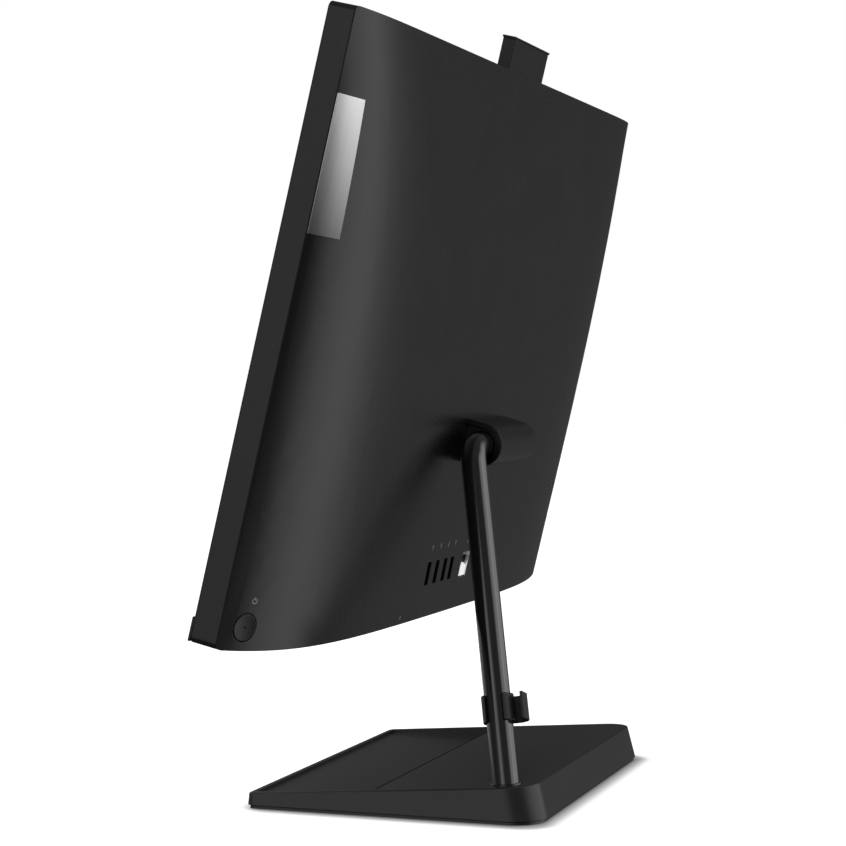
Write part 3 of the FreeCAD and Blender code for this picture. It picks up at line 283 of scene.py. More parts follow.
def paint(name, shade, rough, coat=0.0, peel=0.000003, wear=(0.10, 0.10, 0.11)):
    """Sprayed paint on metal: faint orange peel, dust, bare metal only at the sharpest edges."""
    look = Look(name, Specular_IOR_Level=1.0, Coat_Weight=coat, Coat_Roughness=rough)
    edge, rounded = look.edges(0.0003)
    peeled = look.noise(1400.0, 2.0, 0.5)
    dust = look.noise(5200.0, 2.0, 0.7)
    clouds = look.noise(14.0, 4.0)
    tone = look.shades(look.span(clouds, 0.0, 1.0), (0.0, grey(shade * 0.85)), (1.0, grey(shade * 1.15)))
    dusty = look.blend(look.span(dust, 0.0, 0.25, 0.66, 0.8), tone, grey(0.02))
    bare = look.maths("MULTIPLY", look.span(edge, 0.0, 1.0, 0.6, 1.0), look.span(look.noise(300.0), 0.0, 0.6))
    look.colour(look.blend(bare, dusty, wear))
    look.roughness(look.maths("ADD", look.span(peeled, rough - 0.01, rough + 0.015),
                              look.span(look.noise(30.0, 4.0), -0.01, 0.012)))
    look.bump((peeled, peel), normal=rounded)
    return look.material


def metal(name, shade, rough, brushed=None, round_edge=0.0002, scratches=0.000002, scale=900.0):
    """Bare metal: brushed along one axis or evenly blasted, with fine scratches and worn edges."""
    look = Look(name, Metallic=1.0)
    grain = look.noise(scale, 3.0, 0.6, brushed)
    clouds = look.noise(40.0, 4.0)
    edge, rounded = look.edges(round_edge)
    darker = tuple(channel * 0.78 for channel in shade)
    tone = look.shades(look.span(grain, 0.0, 1.0, 0.25, 0.75), (0.0, darker), (1.0, shade))
    bright = tuple(min(1.0, channel * 1.2) for channel in shade)
    look.colour(look.blend(edge, tone, bright))
    uneven = look.span(grain, rough - 0.07, rough + 0.08)
    look.roughness(look.maths("ADD", uneven, look.span(clouds, -0.04, 0.04)))
    look.bump((grain, scratches), normal=rounded)
    return look.material


def zinc(name, shade=(0.5, 0.51, 0.53), rough=0.34):
    """Zinc-plated sheet: pale crystals of different shine, rolling lines, dulled edges."""
    look = Look(name, Metallic=1.0)
    crystals = look.cells(260.0, output="Color")
    share = look.node("ShaderNodeSeparateColor", {"Color": crystals}).outputs[0]
    lines = look.noise(700.0, 2.0, 0.6, (1.0, 1.0, 30.0))
    edge, rounded = look.edges(0.0002)
    tone = look.shades(share, (0.0, tuple(channel * 0.75 for channel in shade)), (1.0, shade))
    look.colour(look.blend(edge, tone, tuple(channel * 1.15 for channel in shade)))
    look.roughness(look.maths("ADD", look.span(share, rough - 0.08, rough + 0.08, 0.0, 1.0),
                              look.span(lines, -0.05, 0.05)))
    look.bump((lines, 0.000002), normal=rounded)
    return look.material


def name_metal(name):
    """Brushed metal with a painted reflection: bright at its upper end and darkening toward its lower end."""
    look = Look(name, Metallic=1.0)
    low, high = display_box("name_plate")
    up = TURN @ Vector((0, 0, 1))
    start = DISPLAY.to_translation().dot(up)
    share = look.span(look.along(up), 0.0, 1.0, start + low.z * MM, start + high.z * MM)
    # painted reflection: the grey rises from the plate's lower end to its upper end
    painted_reflection = look.shades(share, *[(place, grey(value)) for place, value in PLATE_PAINTED_REFLECTION])
    hairs = look.noise(2600.0, 2.0, 0.6, (1.0, 1.0, 60.0))
    broad = look.noise(420.0, 2.0, 0.5, (1.0, 1.0, 25.0))
    edge, rounded = look.edges(0.00025)
    brushed = look.node("ShaderNodeMix", {}, data_type="RGBA", blend_type="MULTIPLY")
    sockets = [socket for socket in brushed.inputs if socket.enabled]
    sockets[0].default_value = 1.0
    look.links.new(painted_reflection, sockets[1])
    look.links.new(look.shades(look.span(hairs, 0.0, 1.0), (0.0, grey(0.93)), (1.0, grey(1.0))), sockets[2])
    streaked = next(socket for socket in brushed.outputs if socket.enabled)
    look.colour(look.blend(look.maths("MULTIPLY", edge, 0.5), streaked, grey(0.8)))
    look.roughness(look.maths("ADD", look.span(hairs, 0.3, 0.36), look.span(broad, -0.02, 0.02)))
    look.bump((hairs, 0.0000008), normal=rounded)
    return look.material


def rubber(name, shade=0.012):
    """Matt rubber with a fine tooth and dust caught in it."""
    look = Look(name, Specular_IOR_Level=0.35)
    tooth = look.noise(2400.0, 3.0, 0.7)
    dust = look.noise(300.0, 4.0, 0.65)
    edge, rounded = look.edges(0.0004)
    tone = look.blend(look.span(dust, 0.0, 0.4, 0.5, 0.8), grey(shade), grey(shade * 3))
    look.colour(look.blend(look.maths("MULTIPLY", edge, 0.4), tone, grey(shade * 2.4)))
    look.roughness(look.span(tooth, 0.72, 0.9))
    look.bump((tooth, 0.00002), normal=rounded)
    return look.material


def circuit(name, mask=(0.004, 0.022, 0.012)):
    """Circuit board: solder mask over copper tracks, tinned pads, glass weave."""
    look = Look(name, Specular_IOR_Level=0.5)
    tracks = look.cells(420.0, "DISTANCE_TO_EDGE", stretch=(1.0, 1.0, 1.6), Randomness=0.25)
    pads = look.cells(300.0, Randomness=0.55)
    weave = look.noise(5000.0, 1.0, 0.4, (1.0, 1.0, 3.0))
    edge, rounded = look.edges(0.0002)
    on_track = look.span(tracks, 1.0, 0.0, 0.06, 0.09)
    on_pad = look.span(pads, 1.0, 0.0, 0.14, 0.17)
    raised = look.blend(on_track, mask, tuple(channel * 2.2 for channel in mask))
    tinned = look.blend(on_pad, raised, (0.42, 0.42, 0.40))
    look.colour(look.blend(look.maths("MULTIPLY", edge, 0.7), tinned, (0.25, 0.22, 0.12)))
    look.links.new(on_pad, look.shader.inputs["Metallic"])
    look.roughness(look.span(weave, 0.3, 0.42))
    look.bump((on_track, 0.00002), (weave, 0.000003), normal=rounded)
    return look.material


def screen_surface(name):
    """Unlit anti-glare panel: dark rows of picture cells under a fine matt sparkle."""
    look = Look(name, Specular_IOR_Level=0.5)
    pitch = 1.0 / 0.000274
    rows = look.node("ShaderNodeTexBrick", {"Vector": look.drawn((1.0, 1.0, 1.0)), "Scale": pitch,
                                            "Color1": (*grey(0.0042), 1), "Color2": (*grey(0.0055), 1),
                                            "Mortar": (*grey(0.002), 1), "Mortar Size": 0.08})
    sparkle = look.noise(9000.0, 1.0, 0.5)
    smudge = look.noise(16.0, 5.0, 0.6)
    edge, rounded = look.edges(0.0002)
    hazed = look.blend(look.span(smudge, 0.0, 0.35, 0.5, 0.8), rows.outputs["Color"], grey(0.009))
    look.colour(look.blend(look.maths("MULTIPLY", edge, 0.5), hazed, grey(0.02)))
    look.roughness(look.maths("ADD", look.span(sparkle, 0.2, 0.28), look.span(smudge, -0.02, 0.03)))
    look.bump((sparkle, 0.0000015), normal=rounded)
    return look.material


def glass(name, shade, rough=0.05, haze=0.02):
    """Dark coated glass with a faint film and a polished edge."""
    look = Look(name, Specular_IOR_Level=0.7, Coat_Weight=0.6, Coat_Roughness=0.03)
    film = look.noise(500.0, 3.0, 0.6)
    streaks = look.noise(900.0, 2.0, 0.6, (1.0, 1.0, 12.0))
    edge, rounded = look.edges(0.0002)
    tint = look.blend(look.span(film, 0.0, 0.5), shade, tuple(channel * 1.8 for channel in shade))
    look.colour(look.blend(look.maths("MULTIPLY", edge, 0.6), tint, grey(0.05)))
    look.roughness(look.maths("ADD", look.span(film, rough, rough + haze), look.span(streaks, 0.0, haze)))
    look.bump((streaks, 0.0000005), normal=rounded)
    return look.material


def clear_sheet(name):
    """Milky light guide: clear plastic with a fine pattern of etched dots."""
    look = Look(name, Specular_IOR_Level=0.6, Transmission_Weight=0.35)
    dots = look.cells(900.0, Randomness=0.1)
    haze = look.noise(30.0, 4.0)
    edge, rounded = look.edges(0.0003)
    tone = look.blend(look.span(dots, 1.0, 0.0, 0.25, 0.35), grey(0.62), grey(0.8))
    look.colour(look.blend(edge, tone, grey(0.88)))
    look.roughness(look.maths("ADD", look.span(dots, 0.35, 0.12, 0.25, 0.35), look.span(haze, 0.0, 0.06)))
    look.bump((dots, 0.000004), normal=rounded)
    return look.material


def print_ink(name, shade):
    """Pad-printed ink: thin, slightly uneven, with the casing's grain showing through."""
    look = Look(name, Specular_IOR_Level=0.3)
    patches = look.noise(2600.0, 3.0, 0.6)
    grain = look.noise(2200.0, 2.0, 0.6)
    edge, rounded = look.edges(0.00006)
    tone = look.blend(look.span(patches, 0.0, 0.5, 0.45, 0.75), grey(shade), grey(shade * 0.7))
    look.colour(look.blend(look.maths("MULTIPLY", edge, 0.3), tone, grey(shade * 0.8)))
    look.roughness(look.span(grain, 0.55, 0.7))
    look.bump((grain, 0.000002), normal=rounded)
    return look.material


def add_painted_glow(material, strength):
    """The material with a painted white glow of its own added, though the part is no lamp."""
    shader = material.node_tree.nodes["Principled BSDF"]
    shader.inputs["Emission Color"].default_value = (1, 1, 1, 1)
    shader.inputs["Emission Strength"].default_value = strength
    return material


# greys of the casing, the base and the printing
CASING, BASE, INK = 0.005, 0.018, 0.55
# painted reflection on the name plate, from its dark lower end to its bright upper end: (share of its height,
# grey)
PLATE_PAINTED_REFLECTION = [(0.0, 0.2), (0.3, 0.36), (0.7, 0.62), (1.0, 0.84)]
# painted light: the strength of the glow on the network jack's pale block, which is no lamp
JACK_PAINTED_GLOW = 0.55


def make_looks():
    """Every finish by name."""
    rolled, turned_part = (1.0, 1.0, 40.0), (1.0, 6.0, 6.0)
    return {
        "casing": plastic("casing_matte", CASING, 0.26, grain=0.000003),
        "casing_frame": plastic("casing_frame", CASING, 0.28, grain=0.000003),
        "camera_skin": plastic("camera_skin", CASING, 0.3, grain=0.000003, specular=0.36),
        "button": plastic("button_satin", CASING, 0.3, grain=0.000004, wear=2.4),
        "base": plastic("base_matte", BASE, 0.3, grain=0.000006),
        "clip": plastic("clip_matte", 0.016, 0.42, grain=0.000008),
        "inner": plastic("inner_matte", 0.03, 0.5, grain=0.00002),
        "rotor": plastic("rotor_black", 0.02, 0.34, grain=0.000006),
        "chip": plastic("chip_epoxy", 0.045, 0.45, grain=0.00001, wear=1.4),
        "socket": plastic("socket_nylon", 0.5, 0.42, grain=0.00001, wear=1.1),
        # painted light: the jack's pale nylon glows, though it is no lamp
        "jack_white_painted_glow": add_painted_glow(plastic("jack_nylon_painted_glow", 0.85, 0.4, grain=0.000004, wear=1.05), JACK_PAINTED_GLOW),
        "dark_nylon": plastic("port_nylon", 0.012, 0.4, grain=0.000006),
        "cloth": plastic("speaker_cloth", 0.01, 0.75, grain=0.00003),
        "frame_ink": plastic("screen_frame_ink", 0.004, 0.3, grain=0.000001),
        "tube": paint("tube_satin", 0.009, 0.13, coat=0.6),
        "collar": paint("collar_satin", 0.004, 0.24),
        "black_steel": paint("black_oxide", 0.02, 0.38, peel=0.000006, wear=(0.3, 0.3, 0.31)),
        "name_metal": name_metal("name_metal"),
        "zinc": zinc("zinc_sheet"),
        "weight": zinc("weight_steel", (0.36, 0.36, 0.37), 0.5),
        "shaft": metal("shaft_ground", (0.45, 0.45, 0.46), 0.24, (1.0, 30.0, 30.0)),
        "washer": metal("washer_steel", (0.4, 0.4, 0.41), 0.34, turned_part),
        "screw": metal("screw_nickel", (0.55, 0.55, 0.54), 0.28, scale=1800.0),
        "brass": metal("brass_turned", (0.58, 0.42, 0.17), 0.3, turned_part),
        "jack_metal": metal("jack_nickel", (0.9, 0.9, 0.88), 0.3, scale=2400.0),
        # painted shade: a near-black strip standing for the shade in the seam along the pen tray
        "gap": rubber("painted_gap_shade", 0.0015),
        "nickel": metal("nickel_plate", (0.62, 0.61, 0.59), 0.22, scale=2400.0),
        "gold": metal("gold_flash", (0.75, 0.53, 0.2), 0.2, scale=3200.0),
        "cast": metal("cast_light_metal", (0.42, 0.42, 0.43), 0.46, scale=700.0, scratches=0.00002),
        "fins": metal("fin_stamped", (0.56, 0.57, 0.58), 0.3, rolled),
        "copper": metal("copper_drawn", (0.66, 0.33, 0.2), 0.28, (40.0, 1.0, 1.0)),
        "cell": metal("cell_steel", (0.6, 0.6, 0.6), 0.22, scale=1500.0),
        "circuit": circuit("board_green"),
        "circuit_black": circuit("board_black", (0.006, 0.006, 0.007)),
        "screen": screen_surface("screen_matt"),
        "lens": glass("lens_coated", (0.004, 0.004, 0.012)),
        "guide": clear_sheet("light_guide_clear"),
        "rubber": rubber("foot_rubber_matt"),
        "ink": print_ink("casing_ink", INK),
    }


# the CAD nodes that wear each finish
FINISHES = {
    "casing": ("back_cover", "hinge_housing", "hinge_end_plate"),
    "casing_frame": ("side_frame", "speaker_strip"),
    "camera_skin": ("camera_case", "camera_cap"),
    "button": ("power_button",),
    "base": ("base_shell", "base_sole"),
    "clip": ("cable_clip",),
    "inner": ("speaker_left", "speaker_right", "fan_case", "camera_guide", "button_holder"),
    "rotor": ("fan_rotor",),
    "chip": ("processor", "button_switch"),
    "socket": ("card_sockets",),
    "dark_nylon": ("audio_jack",),
    "tube": ("stand_tube",),
    "collar": ("tube_collar",),
    "black_steel": ("hinge_bracket", "hinge_screws", "tube_screw"),
    "name_metal": ("name_plate",),
    "zinc": ("backlight_tray", "panel_brackets", "steel_chassis", "drive_cradle", "fan_lid"),
    "weight": ("base_weight",),
    "shaft": ("hinge_shaft",),
    "washer": ("friction_washers", "hinge_nut", "tube_plug"),
    "screw": ("small_screws", "base_screws"),
    "brass": ("board_pillars", "friction_sleeve"),
    "nickel": ("usb_ports", "video_port", "network_jack", "power_inlet"),
    "cast": ("hard_drive",),
    "fins": ("heat_sink", "outlet_fins"),
    "copper": ("heat_pipe", "antennas"),
    "cell": ("clock_cell",),
    "circuit": ("mainboard", "memory_modules"),
    "circuit_black": ("camera_board", "solid_state_drive", "wireless_card"),
    "screen": ("lcd_cell",),
    "lens": ("camera_lens",),
    "guide": ("light_guide",),
    "rubber": ("rubber_feet",),
}


def finish_frame():
    """Gives every CAD node its finish."""
    for finish, names in FINISHES.items():
        for name in names:
            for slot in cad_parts[name].material_slots:
                slot.material = looks[finish]


# ------------------------------------------------------------------ small pieces


class Form:
    """A small piece being built in millimetres."""

    def __init__(self):
        self.mesh = bmesh.new()

    def bar(self, low, high, bevel):
        """A block between two corners with its edges rounded off."""
        made = bmesh.ops.create_cube(self.mesh, size=1.0)["verts"]
        low, high = Vector(low), Vector(high)
        for vertex in made:
            vertex.co = Vector([(low[axis] + high[axis]) / 2 + vertex.co[axis] * (high[axis] - low[axis])
                                for axis in range(3)])
        edges = list({edge for vertex in made for edge in vertex.link_edges})
        bmesh.ops.bevel(self.mesh, geom=edges, offset=bevel, segments=2, affect="EDGES", profile=0.6)

    def plate(self, outline, low, high, hole=()):
        """A flat plate: an outline of (across, height) points, with a hole, from one depth to another."""
        loops = []
        for points in (outline, hole):
            if points:
                made = [self.mesh.verts.new((across, low, height)) for across, height in points]
                loops.append([self.mesh.edges.new(pair) for pair in zip(made, made[1:] + made[:1])])
        edges = [edge for loop in loops for edge in loop]
        filled = bmesh.ops.triangle_fill(self.mesh, edges=edges, use_beauty=True)
        faces = [item for item in filled["geom"] if isinstance(item, bmesh.types.BMFace)]
        raised = bmesh.ops.extrude_face_region(self.mesh, geom=faces)["geom"]
        for item in raised:
            if isinstance(item, bmesh.types.BMVert):
                item.co.y += high - low

    def turned(self, profile, middle, axis, segments=48):
        """A closed profile of (radius, along) points turned about a line through the middle."""
        spin = Vector((0, 1, 0)) if axis == "y" else Vector((0, 0, 1))
        out = Vector((1, 0, 0))
        start = [self.mesh.verts.new(Vector(middle) + out * radius + spin * along)
                 for radius, along in profile]
        edges = [self.mesh.edges.new(pair) for pair in zip(start, start[1:] + start[:1])]
        bmesh.ops.spin(self.mesh, geom=start + edges, cent=Vector(middle), axis=spin, steps=segments,
                       angle=2 * math.pi, use_merge=True)

    def grid(self, low, high, pitch):
        """A flat sheet of square cells, level or upright, between two corners."""
        low, high = Vector(low), Vector(high)
        flat = 2 if low.z == high.z else 1
        across, along = 0, 3 - flat
        columns = max(1, round((high[across] - low[across]) / pitch))
        rows = max(1, round((high[along] - low[along]) / pitch))
        grid = []
        for row in range(rows + 1):
            line = []
            for column in range(columns + 1):
                place = low.copy()
                place[across] += (high[across] - low[across]) * column / columns
                place[along] += (high[along] - low[along]) * row / rows
                line.append(self.mesh.verts.new(place))
            grid.append(line)
        for row in range(rows):
            for column in range(columns):
                self.mesh.faces.new((grid[row][column], grid[row][column + 1],
                                     grid[row + 1][column + 1], grid[row + 1][column]))

    def stroke(self, points, width, closed=False):
        """A printed line lying on the back cover, through (across, height) points."""
        points = [Vector(point) for point in points]
        ends = points + points[:1] if closed else points
        chain = []
        for start, end in zip(ends, ends[1:]):
            steps = max(1, math.ceil((end - start).length / 0.4))
            chain += [start.lerp(end, step / steps) for step in range(steps)]
        if not closed:
            chain.append(ends[-1])
        sides = []
        for index, point in enumerate(chain):
            before = chain[index - 1] if closed or index else point
            after = chain[(index + 1) % len(chain)] if closed or index + 1 < len(chain) else point
            run = (after - before).normalized()
            normal = Vector((-run.y, run.x)) * width / 2
            sides.append([self.mesh.verts.new(on_cover(*(point + normal * side))) for side in (-1, 1)])
        pairs = zip(sides, sides[1:] + sides[:1]) if closed else zip(sides, sides[1:])
        for first, second in pairs:
            self.mesh.faces.new((first[0], first[1], second[1], second[0]))

    def finish(self, name, body, slot, look, matrix=None, smooth=False):
        """Turns the form into an object in the world that rides a body."""
        matrix = DISPLAY if matrix is None else matrix
        bmesh.ops.transform(self.mesh, matrix=matrix, verts=self.mesh.verts)
        bmesh.ops.remove_doubles(self.mesh, verts=self.mesh.verts, dist=1e-8)
        bmesh.ops.recalc_face_normals(self.mesh, faces=self.mesh.faces)
        data = bpy.data.meshes.new(name)
        self.mesh.to_mesh(data)
        self.mesh.free()
        if smooth:
            data.polygons.foreach_set("use_smooth", [True] * len(data.polygons))
        thing = bpy.data.objects.new(name, data)
        scene.collection.objects.link(thing)
        data.materials.append(looks[look])
        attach(thing, body)
        return thing


COVER_TREE = BVHTree.FromPolygons(display_points("back_cover"), faces_of("back_cover"))
PRINT_LIFT = 0.03


def on_cover(across, height):
    """The place on the outside of the back cover, a hair above it."""
    hit = COVER_TREE.ray_cast(Vector((across, 100.0, height)), Vector((0, -1, 0)))
    return hit[0] + Vector((0, PRINT_LIFT, 0))


def arc(middle, radius, start, end, steps=20):
    """Points round part of a circle, angles in degrees."""
    turns = [math.radians(start + (end - start) * step / steps) for step in range(steps + 1)]
    return [(middle[0] + radius * math.cos(turn), middle[1] + radius * math.sin(turn)) for turn in turns]


def square(middle, side):
    """Corners of an upright square."""
    half = side / 2
    return [(middle[0] + x * half, middle[1] + y * half) for x, y in ((-1, -1), (1, -1), (1, 1), (-1, 1))]


def printed(name, strokes, width, ink="ink"):
    """One printed sign on the back cover, from (points, closed) strokes."""
    form = Form()
    for points, closed in strokes:
        form.stroke(points, width, closed)
    sign = form.finish(name, "display", "casing_plastic", ink)
    thickness = sign.modifiers.new("ink", "SOLIDIFY")
    thickness.thickness = 0.02 * MM
    thickness.offset = -1


def make_signs():
    """Printed signs: power above the button, and one above each port."""
    low, high = display_box("power_button")
    x, z = (low.x + high.x) / 2 - 1.2, high.z + 5.6
    printed("power_sign", [
        (arc((x, z), 1.35, 122, 418), False), ([(x, z + 0.35), (x, z + 1.8)], False)], 0.42)
    top = display_box("usb_ports")[1].z + 8.6
    for number, (near, far) in enumerate(runs([point.x for point in display_points("usb_ports")], 3.0)):
        x = (near + far) / 2
        printed(f"usb_sign_{number}", [
            ([(x, top - 1.6), (x, top + 1.6)], False),
            ([(x - 0.7, top + 0.9), (x, top + 1.7), (x + 0.7, top + 0.9)], False),
            ([(x, top - 0.7), (x + 0.9, top + 0.1), (x + 0.9, top + 0.5)], False),
            ([(x, top - 0.2), (x - 0.9, top + 0.5), (x - 0.9, top + 0.8)], False)], 0.32)
    low, high = display_box("network_jack")
    x = (low.x + high.x) / 2
    printed("network_sign", [
        (square((x, top + 1.1), 1.1), True), (square((x - 1.3, top - 1.1), 1.0), True),
        (square((x + 1.3, top - 1.1), 1.0), True), ([(x, top + 0.5), (x, top)], False),
        ([(x - 1.3, top - 0.6), (x - 1.3, top), (x + 1.3, top), (x + 1.3, top - 0.6)], False)], 0.3)
    low, high = display_box("video_port")
    x = (low.x + high.x) / 2
    printed("video_sign", [
        ([(x - 1.8, top - 0.7), (x + 1.8, top - 0.7), (x + 1.8, top + 1.4), (x - 1.8, top + 1.4)], True),
        ([(x - 0.9, top - 1.4), (x + 0.9, top - 1.4)], False)], 0.3)
    low, high = display_box("power_inlet")
    x = (low.x + high.x) / 2
    printed("inlet_sign", [
        ([(x - 1.6, top + 0.4), (x + 1.6, top + 0.4)], False),
        ([(x - 1.6, top - 0.5), (x - 0.8, top - 0.5)], False),
        ([(x - 0.4, top - 0.5), (x + 0.4, top - 0.5)], False),
        ([(x + 0.8, top - 0.5), (x + 1.6, top - 0.5)], False)], 0.34)
    low, high = display_box("audio_jack")
    x, z = (low.x + high.x) / 2, 3.6
    printed("audio_sign", [
        (arc((x, z), 1.1, 0, 180), False), ([(x - 1.1, z), (x - 1.1, z - 0.8)], False),
        ([(x + 1.1, z), (x + 1.1, z - 0.8)], False)], 0.34)


def make_jack():
    """Network jack: pale moulded lower part with a painted glow, nickel shell edges, dark lining and sprung
    contacts.
    """
    low, high = display_box("network_jack")
    mouth_left, mouth_right = low.x + 1.9, high.x - 1.9
    floor, roof, face = low.z + 2.0, low.z + 13.4, high.y
    step = low.z + 0.46 * (high.z - low.z)
    form = Form()
    # the pale block wears the painted glow
    form.bar((low.x + 0.3, face - 7.0, low.z + 0.3), (high.x - 0.3, face + 0.5, step), 0.1)
    form.bar((mouth_left + 2.4, face - 5.0, step - 0.2), (mouth_right - 2.4, face + 0.35, step + 1.1), 0.15)
    form.finish("jack_block", "display", "clear_plastic", "jack_white_painted_glow")
    form = Form()
    form.bar((low.x + 0.02, face - 7.0, low.z + 0.1), (low.x + 0.5, face + 1.2, high.z - 0.1), 0.08)
    form.bar((low.x + 0.1, face - 7.0, high.z - 0.35), (high.x - 0.1, face + 0.7, high.z - 0.05), 0.08)
    form.bar((low.x + 0.4, face - 3.0, high.z - 2.4), (low.x + 3.6, face + 1.1, high.z - 0.3), 0.15)
    form.finish("jack_shell", "display", "connector_metal", "jack_metal")
    form = Form()
    wall = 0.35
    form.bar((low.x + 0.5, face - 6.5, step), (mouth_left + wall, face - 0.3, high.z - 0.4), 0.08)
    form.bar((mouth_right - wall, face - 6.5, step), (high.x - 0.05, face + 0.25, high.z - 0.4), 0.08)
    form.bar((mouth_left, face - 6.5, roof - wall), (mouth_right, face - 0.3, high.z - 0.4), 0.08)
    form.bar((mouth_left, face - 9.0, step), (mouth_right, face - 8.0, roof), 0.1)
    form.finish("jack_lining", "display", "inner_plastic", "dark_nylon")
    form = Form()
    for number in range(8):
        x = mouth_left + 0.8 + (mouth_right - mouth_left - 1.6) * number / 7
        for start, end in (((face - 1.8, roof - 0.7), (face - 4.6, roof - 3.0)),
                           ((face - 4.6, roof - 3.0), (face - 7.8, roof - 1.2))):
            form.bar((x - 0.16, min(start[0], end[0]), min(start[1], end[1])),
                     (x + 0.16, min(start[0], end[0]) + 0.3, max(start[1], end[1])), 0.05)
    form.finish("jack_contacts", "display", "brass_metal", "gold")


def make_port_insides():
    """Tongues with gold contacts in the slots, a collar in the power inlet and the sound socket."""
    tongues, contacts = Form(), Form()
    for node, count in (("usb_ports", 4), ("video_port", 9)):
        low, high = display_box(node)
        for near, far in runs([point.x for point in display_points(node)], 3.0):
            x = (near + far) / 2
            tongues.bar((x - 1.0, high.y - 9.0, low.z + 1.6), (x + 1.0, high.y - 1.7, high.z - 1.6), 0.25)
            for number in range(count):
                share = (number + 0.5) / count
                z = low.z + 2.1 + (high.z - low.z - 4.2) * share
                half = 0.32 * (high.z - low.z - 4.2) / count
                contacts.bar((x + 0.96, high.y - 8.0, z - half), (x + 1.06, high.y - 2.2, z + half), 0.03)
    tongues.finish("port_tongues", "display", "inner_plastic", "dark_nylon")
    contacts.finish("port_contacts", "display", "brass_metal", "gold")
    low, high = display_box("power_inlet")
    x, z, radius = (low.x + high.x) / 2, (low.z + high.z) / 2, (high.x - low.x) / 2
    form = Form()
    form.turned([(radius - 0.7, 0.0), (radius - 0.15, 0.0), (radius - 0.05, 0.12), (radius - 0.05, 0.5),
                 (radius - 0.5, 0.6), (radius - 0.7, 0.35)], (x, high.y - 0.1, z), "y")
    form.finish("inlet_collar", "display", "inner_plastic", "dark_nylon", smooth=True)
    low, high = display_box("audio_jack")
    x, y = (low.x + high.x) / 2, (low.y + high.y) / 2
    form = Form()
    form.turned([(1.85, 0.0), (2.25, 0.0), (2.25, -0.7), (2.1, -0.9), (1.95, -0.9), (1.85, -0.7)],
                (x, y, low.z), "z")
    form.finish("sound_socket_ring", "display", "connector_metal", "nickel", smooth=True)


def wires(thing, thick):
    """Leaves only the edges of a sheet's cells, as wires."""
    lattice = thing.modifiers.new("wires", "WIREFRAME")
    lattice.thickness = thick * MM
    lattice.use_even_offset = False


def make_meshes():
    """Dust mesh above the air slots and cloth behind the sound slots."""
    slots = {"outlet_mesh": (-242.5, -177.5), "intake_mesh": (107.5, 208.5)}
    depth = display_box("side_frame")[1].y
    for name, (left, right) in slots.items():
        form = Form()
        form.grid((left, depth + 1.6, 2.6), (right, depth + 13.2, 2.6), 1.1)
        wires(form.finish(name, "display", "sheet_steel", "black_steel"), 0.28)
    low, high = display_box("speaker_strip")
    for name, side in (("cloth_left", -1), ("cloth_right", 1)):
        ends = sorted((side * 106, side * 219))
        form = Form()
        form.grid((ends[0], high.y + 0.35, 5.0), (ends[1], high.y + 0.35, 8.4), 0.55)
        wires(form.finish(name, "display", "inner_plastic", "cloth"), 0.3)


def make_screen_frame():
    """Black printed frame round the picture area of the panel."""
    low, high = display_box("lcd_cell")
    wide, tall = 527.0, 296.5
    middle = (low.z + high.z) / 2 + 1.6
    inner = [(-wide / 2, middle - tall / 2), (wide / 2, middle - tall / 2), (wide / 2, middle + tall / 2),
             (-wide / 2, middle + tall / 2)]
    outer = [(low.x + 0.1, low.z + 0.1), (high.x - 0.1, low.z + 0.1), (high.x - 0.1, high.z - 0.1),
             (low.x + 0.1, high.z - 0.1)]
    form = Form()
    form.plate(outer, low.y - 0.06, low.y - 0.01, inner)
    form.finish("screen_frame", "display", "screen_glass", "frame_ink")


def make_camera_details():
    """Ring and iris of the camera's lens, its lamp, and dark discs painted as the shade in its two sound
    holes.
    """
    low, high = display_box("camera_lens")
    x, z, front = (low.x + high.x) / 2, (low.z + high.z) / 2, low.y
    ring = Form()
    ring.turned([(3.5, 0.0), (3.3, -0.15), (2.5, -0.15), (2.2, 0.1), (2.2, 0.16), (3.45, 0.16)],
                (x, front, z), "y", 64)
    ring.finish("lens_ring", "camera", "inner_plastic", "dark_nylon", smooth=True)
    iris = Form()
    iris.turned([(0.9, 0.0), (2.15, -0.1), (2.15, -0.02), (0.9, -0.02)], (x, front, z), "y", 48)
    iris.finish("lens_iris", "camera", "lens_glass", "lens", smooth=True)
    dots = Form()
    # painted shade: thin dark discs standing for the shade inside each sound hole
    for across in (-21.0, 21.0):
        dots.turned([(0.02, -0.03), (0.62, -0.03), (0.7, 0.02), (0.02, 0.02)],
                    (across, display_box("camera_case")[0].y, z), "y", 24)
    dots.finish("camera_sound_hole_shades", "camera", "inner_plastic", "rubber")
    lamp = Form()
    lamp.turned([(0.02, -0.12), (0.5, -0.1), (0.75, 0.02), (0.02, 0.02)],
                (9.0, display_box("camera_case")[0].y, z), "y", 24)
    lamp.finish("camera_lamp", "camera", "lens_glass", "lens", smooth=True)


# the tray's floor height, how near a point counts as on it and how far out its corners lie
TRAY_FLOOR, FLOOR_REACH, TRAY_CORNERS = 7.6, 0.05, 60
# the painted-shade strip's lower and upper edge beyond the tray, its lift and its thickness
GAP_START, GAP_END, GAP_LIFT, GAP_THICK = 0.1, 1.5, 0.02, 0.3


